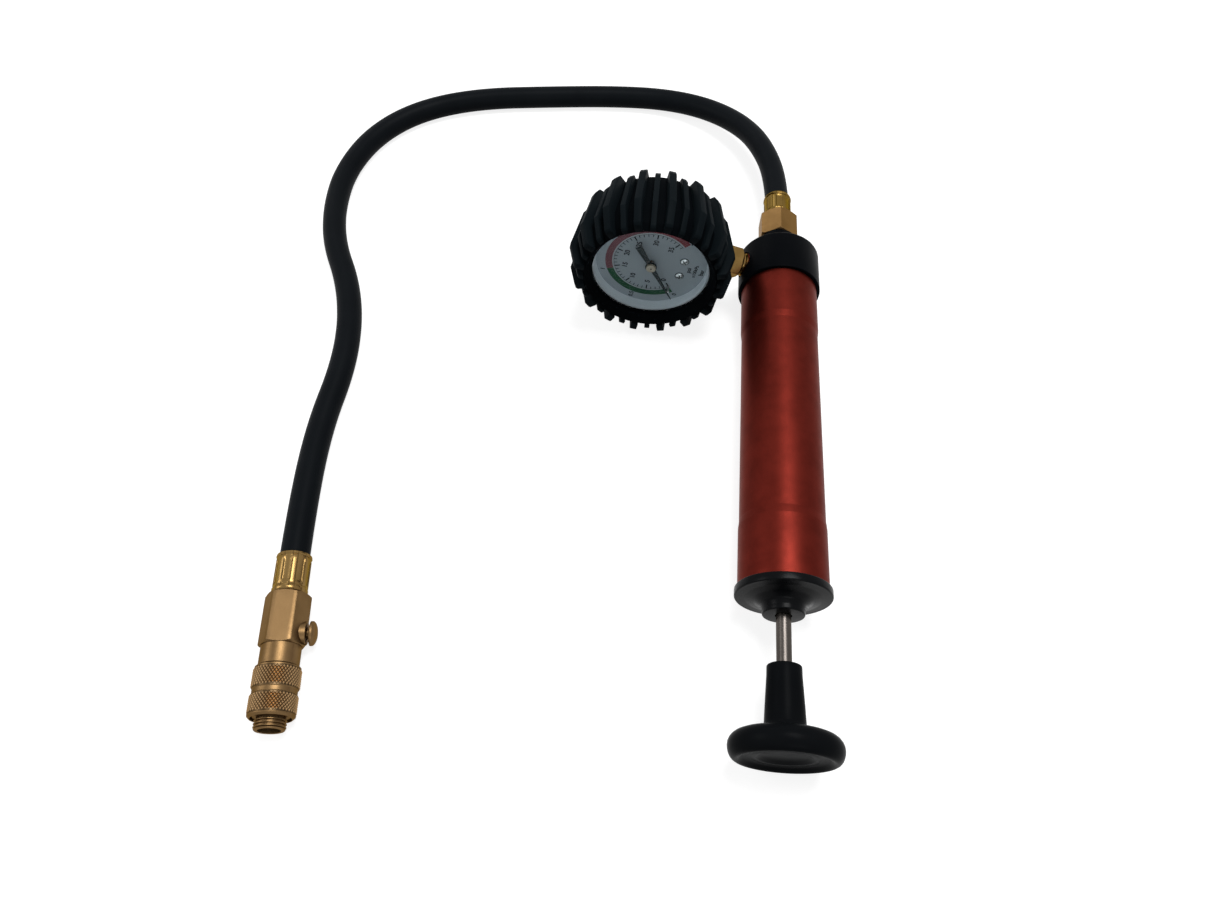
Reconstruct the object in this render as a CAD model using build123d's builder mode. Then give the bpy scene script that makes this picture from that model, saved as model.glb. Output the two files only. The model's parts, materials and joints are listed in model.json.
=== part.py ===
from build123d import *
from math import asin, atan2, cos, degrees, hypot, pi, radians, sin, tan
import os

# Cooling system pressure tester: a hand pump with a dial gauge on its top cap and a hose to a
# quick coupler. Millimetres. It lies on its side on a flat surface at Z = 0: the rims of the top
# cap and the handle and two ribs of the gauge's boot touch down. The origin is under the middle of
# the pump and gauge, +Y runs along the pump to its hose end, and the gauge lies towards -X.

# Pump, along its axis: t = 0 is the lower rim of the top cap, t grows towards the hose
barrel_radius = 19.0
barrel_wall = 1.5
barrel_length = 168.7
waist_depth = 0.4                     # shallow turned band between two conical steps
waist_start = 30.5                    # from the cap's lower rim to the first step
waist_length = 106.5
waist_step = 3.8                      # length of each conical step
cap_wall = 1.7                        # of the top cap over the barrel
cap_radius = barrel_radius + cap_wall
cap_length = 24.5
cap_round = 2.1
cap_boss_radius = 9.6
cap_boss_length = 13.0
socket_depth = 5.0                    # the barrel end screws into this socket
gasket_thickness = 0.8
valve_plate_radius = barrel_radius - 5.0
valve_plate_thickness = 2.6
valve_hole_radius = 3.0
valve_disc_radius = 8.2
valve_disc_thickness = 1.6
valve_lift = 2.4
chamber_radius = 9.0
chamber_length = 11.0
adapter_thread_radius = 6.5
adapter_bore_radius = 2.0
adapter_hex = 19.0                    # across flats
adapter_hex_length = 16.4
port_height = 13.2                    # of the gauge's port above the cap's lower rim
spot_face_drop = 2.9                  # of the port's flat seat below the cap's outside
spot_face_depth = cap_radius - spot_face_drop
spot_face_radius = 6.7
bottom_flange_lip = 1.3               # of the bottom cap over the barrel
bottom_flange_radius = barrel_radius + bottom_flange_lip
bottom_flange_thickness = 3.5
bottom_spigot_length = 12.0
nose_radius = 8.8
nose_length = 7.5
rod_radius = 3.1
rod_gap = 20.9                        # bare rod between the nose and the handle, as it lies
rod_stroke_out = 118.0                # how far the handle pulls out from there
piston_gap = 0.9                      # between the piston's head and the bore
piston_radius = barrel_radius - barrel_wall - piston_gap
piston_head_thickness = 5.0
cup_length = 6.5
cup_wall = 1.2
piston_washer_thickness = 1.6
piston_washer_margin = 5.0            # of the cup's floor outside the washer
piston_nut_thickness = 3.2
piston_nut_hex = 9.0
bush_radius = 7.0
bump_stop_length = 5.0
handle_neck_radius = 7.0
handle_neck_foot = 8.2
handle_neck_length = 26.6
handle_radius = 22.0
handle_thickness = 10.4
handle_socket_depth = 17.0

# Gauge: w = 0 is the plane of its stem, w grows towards the reader
gauge_reach = 69.6                    # from the pump's axis to the dial's centre
case_radius = 30.2
case_wall = 1.0
case_back = -7.6
case_front = 24.2
boot_depth = 11.2                     # of the tall ribs over the case, at their knee
boot_radius = case_radius + boot_depth
boot_knee = 17.2
boot_front = 30.0
boot_back = -9.6
boot_front_drop = 3.4                 # how far the ribs come in towards the front
boot_back_drop = 4.0
boot_rib_count = 16                   # tall ribs, with a short one between each two
tall_rib_height = 5.2
short_rib_drop = 2.2
tall_rib_width = 3.5
short_rib_width = 2.7
lens_opening_radius = case_radius - 1.2
lens_thickness = 2.0
dial_height = 17.0
dial_thickness = 0.6
dial_radius = case_radius - 2.2
spacer_wall = 1.2
stem_thread_radius = 4.8
stem_bore_radius = 1.6
stem_hex = 14.0
stem_hex_start = cap_radius + 1.9     # from the pump's axis
washer_radius = 6.3
washer_thickness = 1.5
bourdon_radius = 20.6
bourdon_width = 8.0
bourdon_thickness = 2.6
bourdon_wall = 0.4
bourdon_sweep = 200.0
gear_module = 0.4
pinion_teeth = 12
sector_teeth = 84                     # if it went all the way round
needle_zero = -46.5                   # dial angle at which the needle rests, from the stem
gear_thickness = 1.2
gear_backlash = 0.06
arbor_radius = 0.6
plate_thickness = 1.2
plate_gap = 5.0                       # between the movement's two plates
movement_height = 6.0                 # of the back plate's underside above the stem's plane
link_arm = 4.5
needle_length = dial_radius - 3.0
needle_tail = 14.5
needle_eye_radius = 2.9
needle_hub_radius = 2.4
dial_turn = 6.0                       # of the dial from the stem
screw_ring_radius = 16.5
screw_angle = 18.0

# Hose
hose_radius = 6.4
hose_bore_radius = 3.2

# Ferrules that grip the hose's two ends
ferrule_radius = 7.45
pump_ferrule_length = 15.9
coupler_ferrule_length = 18.3
ferrule_flutes = 8
flute_depth = 0.45
barb_radius = 3.1

# Coupler: v = 0 is the hose end of its ferrule, v grows towards its open end
coupler_place = (-169.0, -82.0)       # of v = 0
coupler_turn = 8.6                    # of its axis from -Y
coupler_hex = 17.0
coupler_hex_start = 18.5
coupler_hex_length = 22.5
coupler_hex_roll = 38.0               # of a corner from straight up
coupler_body_radius = 8.15
coupler_body_length = 8.5
socket_tube_radius = 6.9
socket_tube_length = 17.0
socket_bore_radius = 4.55
sleeve_radius = 9.6
sleeve_length = 20.5
sleeve_pocket_radius = 8.25
sleeve_land_start = 8.5               # from the sleeve's back end
sleeve_land_length = 6.0
sleeve_travel = 3.5
knurl_back_length = 9.0
knurl_gap = 2.0
knurl_front_length = 8.0
ball_radius = 1.4
ball_count = 6
ball_place = 62.0
nipple_thread_radius = 6.35
nipple_bore_radius = 4.5
nipple_end = 75.0
button_place = 35.2
button_angle = 98.0                   # from straight up, towards the pump
button_radius = 4.6
button_travel = 1.2

movement_waist = 11.0                 # half width of the movement's plates at the stem
movement_width = 17.5                 # half width at their widest
movement_tail = 24.0                  # reach away from the stem

running = 0.05                        # radial clearance of what slides or turns
seat = 0.04                           # clearance of what is assembled tight

# Where the pump and gauge lie
cap_far_edge = cap_length - cap_round
handle_rim_t = -(barrel_length - socket_depth + gasket_thickness + bottom_flange_thickness
                 + nose_length + rod_gap + handle_neck_length + handle_thickness / 2)
pump_tilt = degrees(asin((handle_radius - cap_radius) / (cap_far_edge - handle_rim_t)))
knee_t = port_height - boot_knee
axis_height = cap_radius + cap_far_edge * tan(radians(pump_tilt))
rib_corner = degrees(atan2(tall_rib_width / 2, boot_radius))
boot_rest = hypot(boot_radius, tall_rib_width / 2) * cos(radians(180 / boot_rib_count - rib_corner))
knee_axis_height = axis_height - knee_t * tan(radians(pump_tilt))
gauge_roll = degrees(asin((boot_rest - knee_axis_height) / gauge_reach))
hose_end_t = cap_length + cap_boss_length + adapter_hex_length + pump_ferrule_length
pump_x = (gauge_reach * cos(radians(gauge_roll)) + boot_radius - handle_radius) / 2
pump_y = (-handle_rim_t + handle_thickness / 2 - hose_end_t) / 2

pump = Plane(
    origin=(pump_x, pump_y, axis_height),
    x_dir=(-1, 0, 0),
    z_dir=(0, cos(radians(pump_tilt)), -sin(radians(pump_tilt))),
)
port_dir = pump.x_dir * cos(radians(gauge_roll)) + pump.y_dir * sin(radians(gauge_roll))
port_point = pump.origin + pump.z_dir * port_height
stem = Plane(origin=port_point, x_dir=pump.z_dir, z_dir=port_dir)
gauge = Plane(
    origin=port_point + port_dir * gauge_reach,
    x_dir=port_dir * -1,
    z_dir=pump.z_dir * -1,
)
coupler_heading = radians(coupler_turn)
coupler = Plane(
    origin=(*coupler_place, sleeve_radius),
    x_dir=(cos(coupler_heading), sin(coupler_heading), 0),
    z_dir=(sin(coupler_heading), -cos(coupler_heading), 0),
)
button_dir = (coupler.x_dir * sin(radians(button_angle))
              + coupler.y_dir * cos(radians(button_angle)))
button = Plane(
    origin=coupler.origin + coupler.z_dir * button_place,
    x_dir=coupler.z_dir,
    z_dir=button_dir,
)

os.makedirs("parts", exist_ok=True)


def beside(plane):
    """The plane that holds the given plane's Z axis: X runs along that axis, Y is the radius."""
    return Plane(origin=plane.origin, x_dir=plane.z_dir, z_dir=plane.x_dir * -1)


def outline(plane, *points, rounds=None):
    """A closed outline through the points, with the corners named in rounds made round."""
    with BuildSketch(plane) as drawn:
        with BuildLine():
            Polyline(*points, close=True)
        make_face()
        for corner, radius in (rounds or {}).items():
            place = points[corner]
            fillet(drawn.vertices().sort_by_distance((place[0], place[1], 0))[0], radius)
    return drawn.sketch


def turn(plane, *points, rounds=None, mode=Mode.ADD):
    """Turn an outline of (length, radius) points about the plane's Z axis."""
    axis = Axis(plane.origin, plane.z_dir)
    revolve(outline(beside(plane), *points, rounds=rounds), axis=axis, mode=mode)


def disc(plane, start, end, radius, mode=Mode.ADD):
    """A round bar on the plane's Z axis, from start to end."""
    with BuildSketch(plane.offset(start)) as section:
        Circle(radius)
    extrude(section.sketch, amount=end - start, mode=mode)


def ring(plane, start, end, outer, inner, mode=Mode.ADD):
    """A round tube on the plane's Z axis, from start to end."""
    with BuildSketch(plane.offset(start)) as section:
        Circle(outer)
        Circle(inner, mode=Mode.SUBTRACT)
    extrude(section.sketch, amount=end - start, mode=mode)


def hexagon(plane, start, end, across_flats, roll=0):
    """A hexagonal bar with both ends chamfered round, as a turned fitting has."""
    chamfer_size = across_flats * 0.06
    corner = across_flats / 3 ** 0.5
    flat = across_flats / 2
    with BuildPart(mode=Mode.PRIVATE) as bar:
        with BuildSketch(plane.offset(start)) as section:
            RegularPolygon(flat, 6, major_radius=False, rotation=roll)
        extrude(section.sketch, amount=end - start)
        turn(plane, (start, 0), (start, flat), (start + chamfer_size, corner + 0.02),
             (end - chamfer_size, corner + 0.02), (end, flat), (end, 0), mode=Mode.INTERSECT)
    add(bar.part)


def coil(plane, start, end, radius, wire_radius, turns):
    """A helical spring on the plane's Z axis, between two faces."""
    free = end - start - 2 * wire_radius
    with BuildLine() as path:
        Helix(pitch=free / turns, height=free, radius=radius)
    wire_path = plane.offset(start + wire_radius).location * path.wire()
    with BuildSketch(Plane(origin=wire_path @ 0, z_dir=wire_path % 0)) as section:
        Circle(wire_radius)
    sweep(section.sketch, path=wire_path)


def save(piece, name):
    piece.part.label = name
    export_step(piece.part, f"parts/{name}.step")


# Pump: barrel, caps and the check valve under the top cap
barrel_top = socket_depth - gasket_thickness
barrel_foot = barrel_top - barrel_length
barrel_bore = barrel_radius - barrel_wall
waist_radius = barrel_radius - waist_depth
waist_end = -(waist_start + waist_length)
valve_floor = socket_depth + valve_plate_thickness
chamber_roof = valve_floor + chamber_length
cap_top = cap_length + cap_boss_length

with BuildPart() as barrel_tube:
    turn(pump,
         (barrel_foot, barrel_bore), (barrel_foot, barrel_radius),
         (waist_end, barrel_radius), (waist_end + waist_step, waist_radius),
         (-waist_start, waist_radius), (-waist_start + waist_step, barrel_radius),
         (barrel_top, barrel_radius), (barrel_top, barrel_bore))
save(barrel_tube, "barrel_tube")

with BuildPart() as top_cap:
    turn(pump,
         (0, barrel_radius + seat), (0, cap_radius), (cap_length, cap_radius),
         (cap_length, cap_boss_radius), (cap_top, cap_boss_radius),
         (cap_top, adapter_thread_radius + seat),
         (chamber_roof, adapter_thread_radius + seat), (chamber_roof, chamber_radius),
         (valve_floor, chamber_radius), (valve_floor, valve_plate_radius + seat),
         (socket_depth, valve_plate_radius + seat), (socket_depth, barrel_radius + seat),
         rounds={1: 0.4, 2: cap_round, 3: 1.5, 4: 0.6})
    disc(stem, 0, cap_radius, stem_thread_radius + seat, mode=Mode.SUBTRACT)
    disc(stem, spot_face_depth, cap_radius + 1, spot_face_radius, mode=Mode.SUBTRACT)
save(top_cap, "top_cap")

with BuildPart() as cap_gasket:
    ring(pump, barrel_top, socket_depth, barrel_radius - seat, valve_plate_radius - 2)
save(cap_gasket, "cap_gasket")

with BuildPart() as valve_plate:
    ring(pump, socket_depth, valve_floor, valve_plate_radius, valve_hole_radius)
    chamfer(valve_plate.edges().filter_by(GeomType.CIRCLE).sort_by(SortBy.RADIUS)[0:2], 0.3)
save(valve_plate, "valve_plate")

valve_seat_gap = 0.02
valve_disc_foot = valve_floor + valve_seat_gap
valve_disc_top = valve_disc_foot + valve_disc_thickness
spring_guide_radius = 3.6
with BuildPart() as valve_disc:
    disc(pump, valve_disc_foot, valve_disc_top, valve_disc_radius)
    disc(pump, valve_disc_top, valve_disc_top + 1.6, spring_guide_radius)
    chamfer(valve_disc.edges().filter_by(GeomType.CIRCLE).sort_by(SortBy.RADIUS)[-2:], 0.3)
save(valve_disc, "valve_disc")

valve_wire = 0.5
with BuildPart() as valve_spring:
    coil(pump, valve_disc_top + 0.05, chamber_roof - 0.05,
         adapter_thread_radius + 3 * valve_wire, valve_wire, 3)
save(valve_spring, "valve_spring")

flange_front = barrel_foot - bottom_flange_thickness
nose_front = flange_front - nose_length
spigot_end = barrel_foot + bottom_spigot_length
bush_floor = nose_front + 2.4
with BuildPart() as bottom_cap:
    turn(pump,
         (nose_front, rod_radius + 0.4), (nose_front, nose_radius),
         (nose_front + 2.2, nose_radius), (flange_front + 0.6, nose_radius + 4.5),
         (flange_front, bottom_flange_radius - 1.2), (flange_front, bottom_flange_radius),
         (barrel_foot, bottom_flange_radius), (barrel_foot, barrel_bore - seat),
         (spigot_end, barrel_bore - seat), (spigot_end, bush_radius + seat),
         (bush_floor, bush_radius + seat), (bush_floor, rod_radius + 0.4),
         rounds={1: 0.5, 2: 1.5, 3: 5.0, 5: 0.5, 6: 0.4, 8: 0.8})
save(bottom_cap, "bottom_cap")

seal_length = 3.0
bush_foot = bush_floor + seal_length
with BuildPart() as rod_seal:
    ring(pump, bush_floor, bush_foot, bush_radius, rod_radius + running)
save(rod_seal, "rod_seal")

with BuildPart() as rod_bush:
    ring(pump, bush_foot, spigot_end, bush_radius, rod_radius + running)
save(rod_bush, "rod_bush")

stop_top = spigot_end + bump_stop_length
with BuildPart() as bump_stop:
    turn(pump,
         (spigot_end, rod_radius + 0.1), (spigot_end, bush_radius),
         (spigot_end + 1.5, bush_radius + 1.2), (stop_top - 1.5, bush_radius + 1.2),
         (stop_top, bush_radius), (stop_top, rod_radius + 0.1))
save(bump_stop, "bump_stop")

# Rod, piston and handle
handle_top = nose_front - rod_gap
piston_clearance = 1.2
piston_top = barrel_top - rod_gap - piston_clearance
nut_foot = piston_top - piston_nut_thickness
front_washer_foot = nut_foot - piston_washer_thickness
cup_floor = front_washer_foot - running - cup_wall
head_foot = cup_floor - piston_head_thickness
rod_step = head_foot - running        # the rod spins in the piston
rod_neck_radius = 2.4
rod_end = handle_top - handle_socket_depth

with BuildPart() as pump_rod:
    turn(pump,
         (rod_end, 0), (rod_end, rod_radius), (rod_step, rod_radius), (rod_step, rod_neck_radius),
         (piston_top - 0.4, rod_neck_radius), (piston_top, rod_neck_radius - 0.4), (piston_top, 0))
save(pump_rod, "pump_rod")

with BuildPart() as piston_head:
    turn(pump,
         (head_foot, rod_neck_radius + seat), (head_foot, piston_radius - 3),
         (head_foot + 1.4, piston_radius), (cup_floor, piston_radius),
         (cup_floor, rod_neck_radius + seat))
    with BuildSketch(pump.offset(head_foot)) as air_slots:
        with PolarLocations(piston_radius, 6):
            Circle(1.6)
    extrude(air_slots.sketch, amount=piston_head_thickness, mode=Mode.SUBTRACT)
save(piston_head, "piston_head")

cup_top = cup_floor + cup_wall
cup_lip = cup_floor + cup_length
with BuildPart() as piston_cup:
    turn(pump,
         (cup_floor, rod_neck_radius + seat), (cup_floor, piston_radius - 1.2),
         (cup_floor + 1.2, piston_radius), (cup_lip, barrel_bore - running),
         (cup_lip, barrel_bore - running - 0.7), (cup_top + 1.0, piston_radius - cup_wall),
         (cup_top, piston_radius - cup_wall - 1.2), (cup_top, rod_neck_radius + seat))
save(piston_cup, "piston_cup")

with BuildPart() as piston_washer:
    ring(pump, front_washer_foot, nut_foot, piston_radius - piston_washer_margin,
         rod_neck_radius + seat)
save(piston_washer, "piston_washer")

with BuildPart() as piston_nut:
    hexagon(pump, nut_foot, piston_top - 0.2, piston_nut_hex)
    disc(pump, nut_foot, piston_top, rod_neck_radius + seat, mode=Mode.SUBTRACT)
save(piston_nut, "piston_nut")

handle_foot = handle_top - handle_neck_length
handle_front = handle_foot - handle_thickness
rim_round = handle_thickness / 2
dish_depth = 2.6
with BuildPart() as handle:
    with BuildSketch(beside(pump)) as half:
        with BuildLine():
            neck = Polyline((handle_top, 0), (handle_top, handle_neck_radius - 0.8),
                            (handle_top - 0.8, handle_neck_radius),
                            (handle_foot + 1.5, handle_neck_foot))
            flare = Spline(neck @ 1, (handle_foot - 0.6, handle_neck_foot + 4.5),
                           (handle_foot, handle_radius - rim_round),
                           tangents=(neck % 1, (0.25, 1)))
            rim = ThreePointArc(flare @ 1, (handle_foot - rim_round, handle_radius),
                                (handle_front, handle_radius - rim_round))
            dish = Spline(rim @ 1, (handle_front + dish_depth * 0.75, handle_radius * 0.48),
                          (handle_front + dish_depth, 0),
                          tangents=((0.7, -1), (0, -1)))
            Line(dish @ 1, neck @ 0)
        make_face()
    revolve(axis=Axis(pump.origin, pump.z_dir))
    disc(pump, rod_end, handle_top, rod_radius + seat, mode=Mode.SUBTRACT)
save(handle, "handle")

# Hose adapter on the top cap, with the barb that the hose is pushed on
hex_foot = cap_top
hex_top = hex_foot + adapter_hex_length
adapter_tail = cap_top - 9.0
barb_end = hex_top + pump_ferrule_length + 2.0
with BuildPart() as hose_adapter:
    hexagon(pump, hex_foot, hex_top, adapter_hex, roll=30)
    disc(pump, adapter_tail, hex_foot, adapter_thread_radius)
    barb = [(hex_top, barb_radius)]
    for step in range(3):
        barb += [(hex_top + 4.5 * (step + 1), barb_radius), (hex_top + 4.5 * (step + 1), barb_radius - 0.6)]
    turn(pump, (hex_top, 0), *barb, (barb_end - 0.6, barb_radius - 0.6),
         (barb_end, barb_radius - 1.0), (barb_end, 0))
    disc(pump, adapter_tail, barb_end, adapter_bore_radius, mode=Mode.SUBTRACT)
save(hose_adapter, "hose_adapter")


def ferrule(plane, start, length):
    """A crimped ferrule: a beaded foot, broad flutes pressed in all round, and a lipped mouth."""
    inside = hose_radius + seat
    bead_end = start + 3.0
    mouth = start + length
    flute_radius = 9.0
    with BuildPart() as shell:
        turn(plane,
             (start, barb_radius + 1.4), (start, ferrule_radius - 0.5),
             (start + 1.0, ferrule_radius + 0.1), (bead_end - 1.0, ferrule_radius + 0.1),
             (bead_end, ferrule_radius - 0.2), (mouth - 1.6, ferrule_radius - 0.2),
             (mouth - 0.8, ferrule_radius), (mouth, ferrule_radius - 0.3), (mouth, inside),
             (start + 0.8, inside), (start + 0.8, barb_radius + 1.4))
        with BuildSketch(plane.offset(bead_end)) as flutes:
            with PolarLocations(ferrule_radius - 0.2 - flute_depth + flute_radius, ferrule_flutes):
                Circle(flute_radius)
        extrude(flutes.sketch, amount=length - 4.8, mode=Mode.SUBTRACT)
    return shell


pump_ferrule = ferrule(pump, hex_top, pump_ferrule_length)
save(pump_ferrule, "pump_ferrule")

# Gauge: stem, socket and pressure element
with BuildPart() as port_washer:
    ring(stem, spot_face_depth, spot_face_depth + washer_thickness, washer_radius,
         stem_thread_radius + seat)
save(port_washer, "port_washer")

case_inner = case_radius - case_wall
stem_hex_end = gauge_reach - case_radius - 2.0
socket_half_width = 6.0
socket_inner = 9.0
socket_outer = case_inner - 0.9
socket_height = movement_height - 2.0
with BuildPart() as gauge_socket:
    disc(stem, chamber_radius + 0.5, stem_hex_start, stem_thread_radius)
    hexagon(stem, stem_hex_start, stem_hex_end, stem_hex)
    disc(stem, stem_hex_end, gauge_reach - case_inner + 1.0, stem_thread_radius)
    with BuildSketch(gauge.offset(-socket_height)) as block:
        with Locations(((socket_outer + socket_inner) / 2, 0)):
            Rectangle(socket_outer - socket_inner, 2 * socket_half_width)
    extrude(block.sketch, amount=socket_height + movement_height)
    disc(stem, chamber_radius, gauge_reach - socket_inner - 4, stem_bore_radius, mode=Mode.SUBTRACT)
save(gauge_socket, "gauge_socket")

tube_start_angle = -12.0
tube_end_angle = tube_start_angle - bourdon_sweep
with BuildPart() as bourdon_tube:
    with BuildSketch(Plane(
        origin=gauge.from_local_coords((bourdon_radius * cos(radians(tube_start_angle)),
                                        bourdon_radius * sin(radians(tube_start_angle)), 0)),
        x_dir=gauge.z_dir,
        z_dir=(gauge.x_dir * sin(radians(tube_start_angle))
               - gauge.y_dir * cos(radians(tube_start_angle))),
    )) as tube_section:
        SlotOverall(bourdon_width, bourdon_thickness)
        SlotOverall(bourdon_width - 2 * bourdon_wall, bourdon_thickness - 2 * bourdon_wall,
                    mode=Mode.SUBTRACT)
    revolve(tube_section.sketch, axis=Axis(gauge.origin, gauge.z_dir * -1),
            revolution_arc=bourdon_sweep)
    with BuildSketch(gauge.offset(-socket_height)) as block_face:
        with Locations((case_radius / 2, 0)):
            Rectangle(case_radius, 2 * socket_half_width)
    extrude(block_face.sketch, amount=socket_height + movement_height, mode=Mode.SUBTRACT)
save(bourdon_tube, "bourdon_tube")


def dial_point(radius, angle, height=0):
    """A point at a radius and a dial angle, counted from the stem, in the gauge's plane."""
    return (radius * cos(radians(angle)), radius * sin(radians(angle)), height)


link_height = movement_height + plate_thickness + 1.6
tip_end_angle = tube_end_angle - 12
with BuildPart() as bourdon_tip:
    with BuildSketch(gauge.offset(-bourdon_width / 2)) as tip_block:
        with BuildLine():
            Polyline(dial_point(bourdon_radius - 1.8, tube_end_angle),
                     dial_point(bourdon_radius + 1.8, tube_end_angle),
                     dial_point(bourdon_radius + 1.6, tip_end_angle),
                     dial_point(bourdon_radius - 1.6, tip_end_angle), close=True)
        make_face()
    extrude(tip_block.sketch, amount=bourdon_width / 2 + link_height - 0.5)
save(bourdon_tip, "bourdon_tip")

# Gauge movement: two plates, a pinion under the needle and the sector that turns it
centre_distance = gear_module * (pinion_teeth + sector_teeth) / 2
back_plate_top = movement_height + plate_thickness
front_plate_foot = back_plate_top + plate_gap
gear_foot = back_plate_top + 2.6
pillar_spots = [(17.5, 9.0), (17.5, -9.0), (-7.5, 15.3), (-7.5, -15.3)]
pillar_radius = 1.5
plate_screw_radius = 1.0


def involute(base, radius):
    """How far round an involute has turned when it reaches a radius."""
    steep = (radius ** 2 / base ** 2 - 1) ** 0.5
    return degrees(steep) - degrees(atan2(steep, 1))


def tooth(teeth, middle):
    """One tooth's corners, from root to root, about the angle of its middle."""
    pitch_radius = gear_module * teeth / 2
    base = pitch_radius * cos(radians(20))
    root = pitch_radius - 1.15 * gear_module
    tip = pitch_radius + 0.7 * gear_module
    half = degrees((gear_module * pi / 2 - gear_backlash) / 2 / pitch_radius)
    foot = max(base, root)
    flank = [foot, (foot + tip) / 2, tip]
    turned = [half + involute(base, pitch_radius) - involute(base, radius) for radius in flank]
    rising = list(zip(flank, turned))
    if foot > root:
        rising = [(root, turned[0])] + rising
    return ([dial_point(radius, middle - angle)[:2] for radius, angle in rising]
            + [dial_point(radius, middle + angle)[:2] for radius, angle in reversed(rising)])


with BuildPart() as pinion:
    tooth_pitch = 360 / pinion_teeth
    corners = []
    for index in range(pinion_teeth):
        corners += tooth(pinion_teeth, 180 + tooth_pitch * (index + 0.5))
    extrude(outline(gauge.offset(gear_foot), *corners), amount=gear_thickness)
    disc(gauge, movement_height + 0.2, gear_foot, arbor_radius)
    disc(gauge, gear_foot + gear_thickness, dial_height + 3.4, arbor_radius)
save(pinion, "pinion")

sector_pivot = Plane(origin=gauge.from_local_coords((-centre_distance, 0, 0)),
                     x_dir=gauge.x_dir, z_dir=gauge.z_dir)
sector_pitch = 360 / sector_teeth
sector_first = -2
sector_last = 11
sector_root = gear_module * sector_teeth / 2 - 1.15 * gear_module
sector_inner = sector_root - 2.2
tail_angle = 150.0
with BuildPart() as sector_gear:
    with BuildSketch(sector_pivot.offset(gear_foot)) as sector_shape:
        with BuildLine():
            teeth_line = []
            for index in range(sector_first, sector_last + 1):
                teeth_line += tooth(sector_teeth, index * sector_pitch)
            low = (sector_first - 0.7) * sector_pitch
            high = (sector_last + 0.7) * sector_pitch
            Polyline(dial_point(sector_inner, low)[:2], dial_point(sector_root, low)[:2],
                     *teeth_line,
                     dial_point(sector_root, high)[:2], dial_point(sector_inner, high)[:2],
                     dial_point(sector_inner, (low + high) / 2)[:2], close=True)
        make_face()
        Circle(2.4)
        for arm_angle in (low + 3, high - 3):
            with BuildLine():
                Polyline(dial_point(1.2, arm_angle - 90)[:2],
                         dial_point(sector_inner + 0.6, arm_angle - 3)[:2],
                         dial_point(sector_inner + 0.6, arm_angle + 3)[:2],
                         dial_point(1.2, arm_angle + 90)[:2], close=True)
            make_face()
        with BuildLine():
            Polyline(dial_point(1.3, tail_angle - 90)[:2],
                     (dial_point(link_arm, tail_angle - 16)[:2]),
                     (dial_point(link_arm, tail_angle + 16)[:2]),
                     dial_point(1.3, tail_angle + 90)[:2], close=True)
        make_face()
        with Locations(dial_point(link_arm, tail_angle)[:2]):
            Circle(1.3)
    extrude(sector_shape.sketch, amount=gear_thickness)
    disc(sector_pivot, movement_height + 0.2, front_plate_foot + 0.8, arbor_radius)
    with BuildSketch(sector_pivot.offset(link_height - 0.4)) as tail_pin:
        with Locations(dial_point(link_arm, tail_angle)[:2]):
            Circle(0.5)
    extrude(tail_pin.sketch, amount=gear_foot - link_height + 0.4)
save(sector_gear, "sector_gear")

tail_pin_spot = (-centre_distance + link_arm * cos(radians(tail_angle)),
                 link_arm * sin(radians(tail_angle)))
tip_middle = dial_point(bourdon_radius, (tube_end_angle + tip_end_angle) / 2)
link_length = hypot(tip_middle[0] - tail_pin_spot[0], tip_middle[1] - tail_pin_spot[1])
link_angle = degrees(atan2(tip_middle[1] - tail_pin_spot[1], tip_middle[0] - tail_pin_spot[0]))
link_pivot = Plane(origin=gauge.from_local_coords((*tail_pin_spot, 0)),
                   x_dir=gauge.x_dir, z_dir=gauge.z_dir)
with BuildPart() as link:
    with BuildSketch(link_pivot.offset(link_height - 0.1)) as link_shape:
        with Locations(Location((0, 0, 0), (0, 0, link_angle))):
            with Locations((link_length / 2, 0)):
                SlotCenterToCenter(link_length, 2.4)
        Circle(0.5 + running, mode=Mode.SUBTRACT)
    extrude(link_shape.sketch, amount=gear_foot - link_height - 0.2)
save(link, "link")



def plate_outline(root, tail):
    """Half of a movement plate's outline, from its edge at the stem to its tail."""
    return [(root, movement_waist), (movement_waist + 3, movement_waist),
            (-8, movement_width), (8 - tail, movement_width), (-tail, 3)]


with BuildPart() as movement_back_plate:
    with BuildSketch(gauge.offset(movement_height)) as back_shape:
        with BuildLine():
            back_side = plate_outline(movement_tail - 2, movement_tail)
            Polyline(*back_side, *[(x, -y) for x, y in reversed(back_side)], close=True)
        make_face()
        fillet(back_shape.vertices(), 1.5)
        Circle(arbor_radius + running, mode=Mode.SUBTRACT)
        with Locations((-centre_distance, 0)):
            Circle(arbor_radius + running, mode=Mode.SUBTRACT)
        with Locations(dial_point(bourdon_radius, (tube_end_angle + tip_end_angle) / 2)[:2]):
            Circle(5.0, mode=Mode.SUBTRACT)
    extrude(back_shape.sketch, amount=plate_thickness)
save(movement_back_plate, "movement_back_plate")

with BuildPart() as movement_pillars:
    for spot in pillar_spots:
        with BuildSketch(gauge.offset(back_plate_top)) as pillar:
            with Locations(spot):
                Circle(pillar_radius)
        extrude(pillar.sketch, amount=plate_gap)
save(movement_pillars, "movement_pillars")

with BuildPart() as movement_front_plate:
    with BuildSketch(gauge.offset(front_plate_foot)) as front_shape:
        with BuildLine():
            front_side = plate_outline(movement_tail - 4, movement_tail - 1)
            Polyline(*front_side, *[(x, -y) for x, y in reversed(front_side)], close=True)
        make_face()
        fillet(front_shape.vertices(), 1.5)
        Circle(arbor_radius + running, mode=Mode.SUBTRACT)
        with Locations((-centre_distance, 0)):
            Circle(arbor_radius + running, mode=Mode.SUBTRACT)
    extrude(front_shape.sketch, amount=plate_thickness)
save(movement_front_plate, "movement_front_plate")

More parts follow.
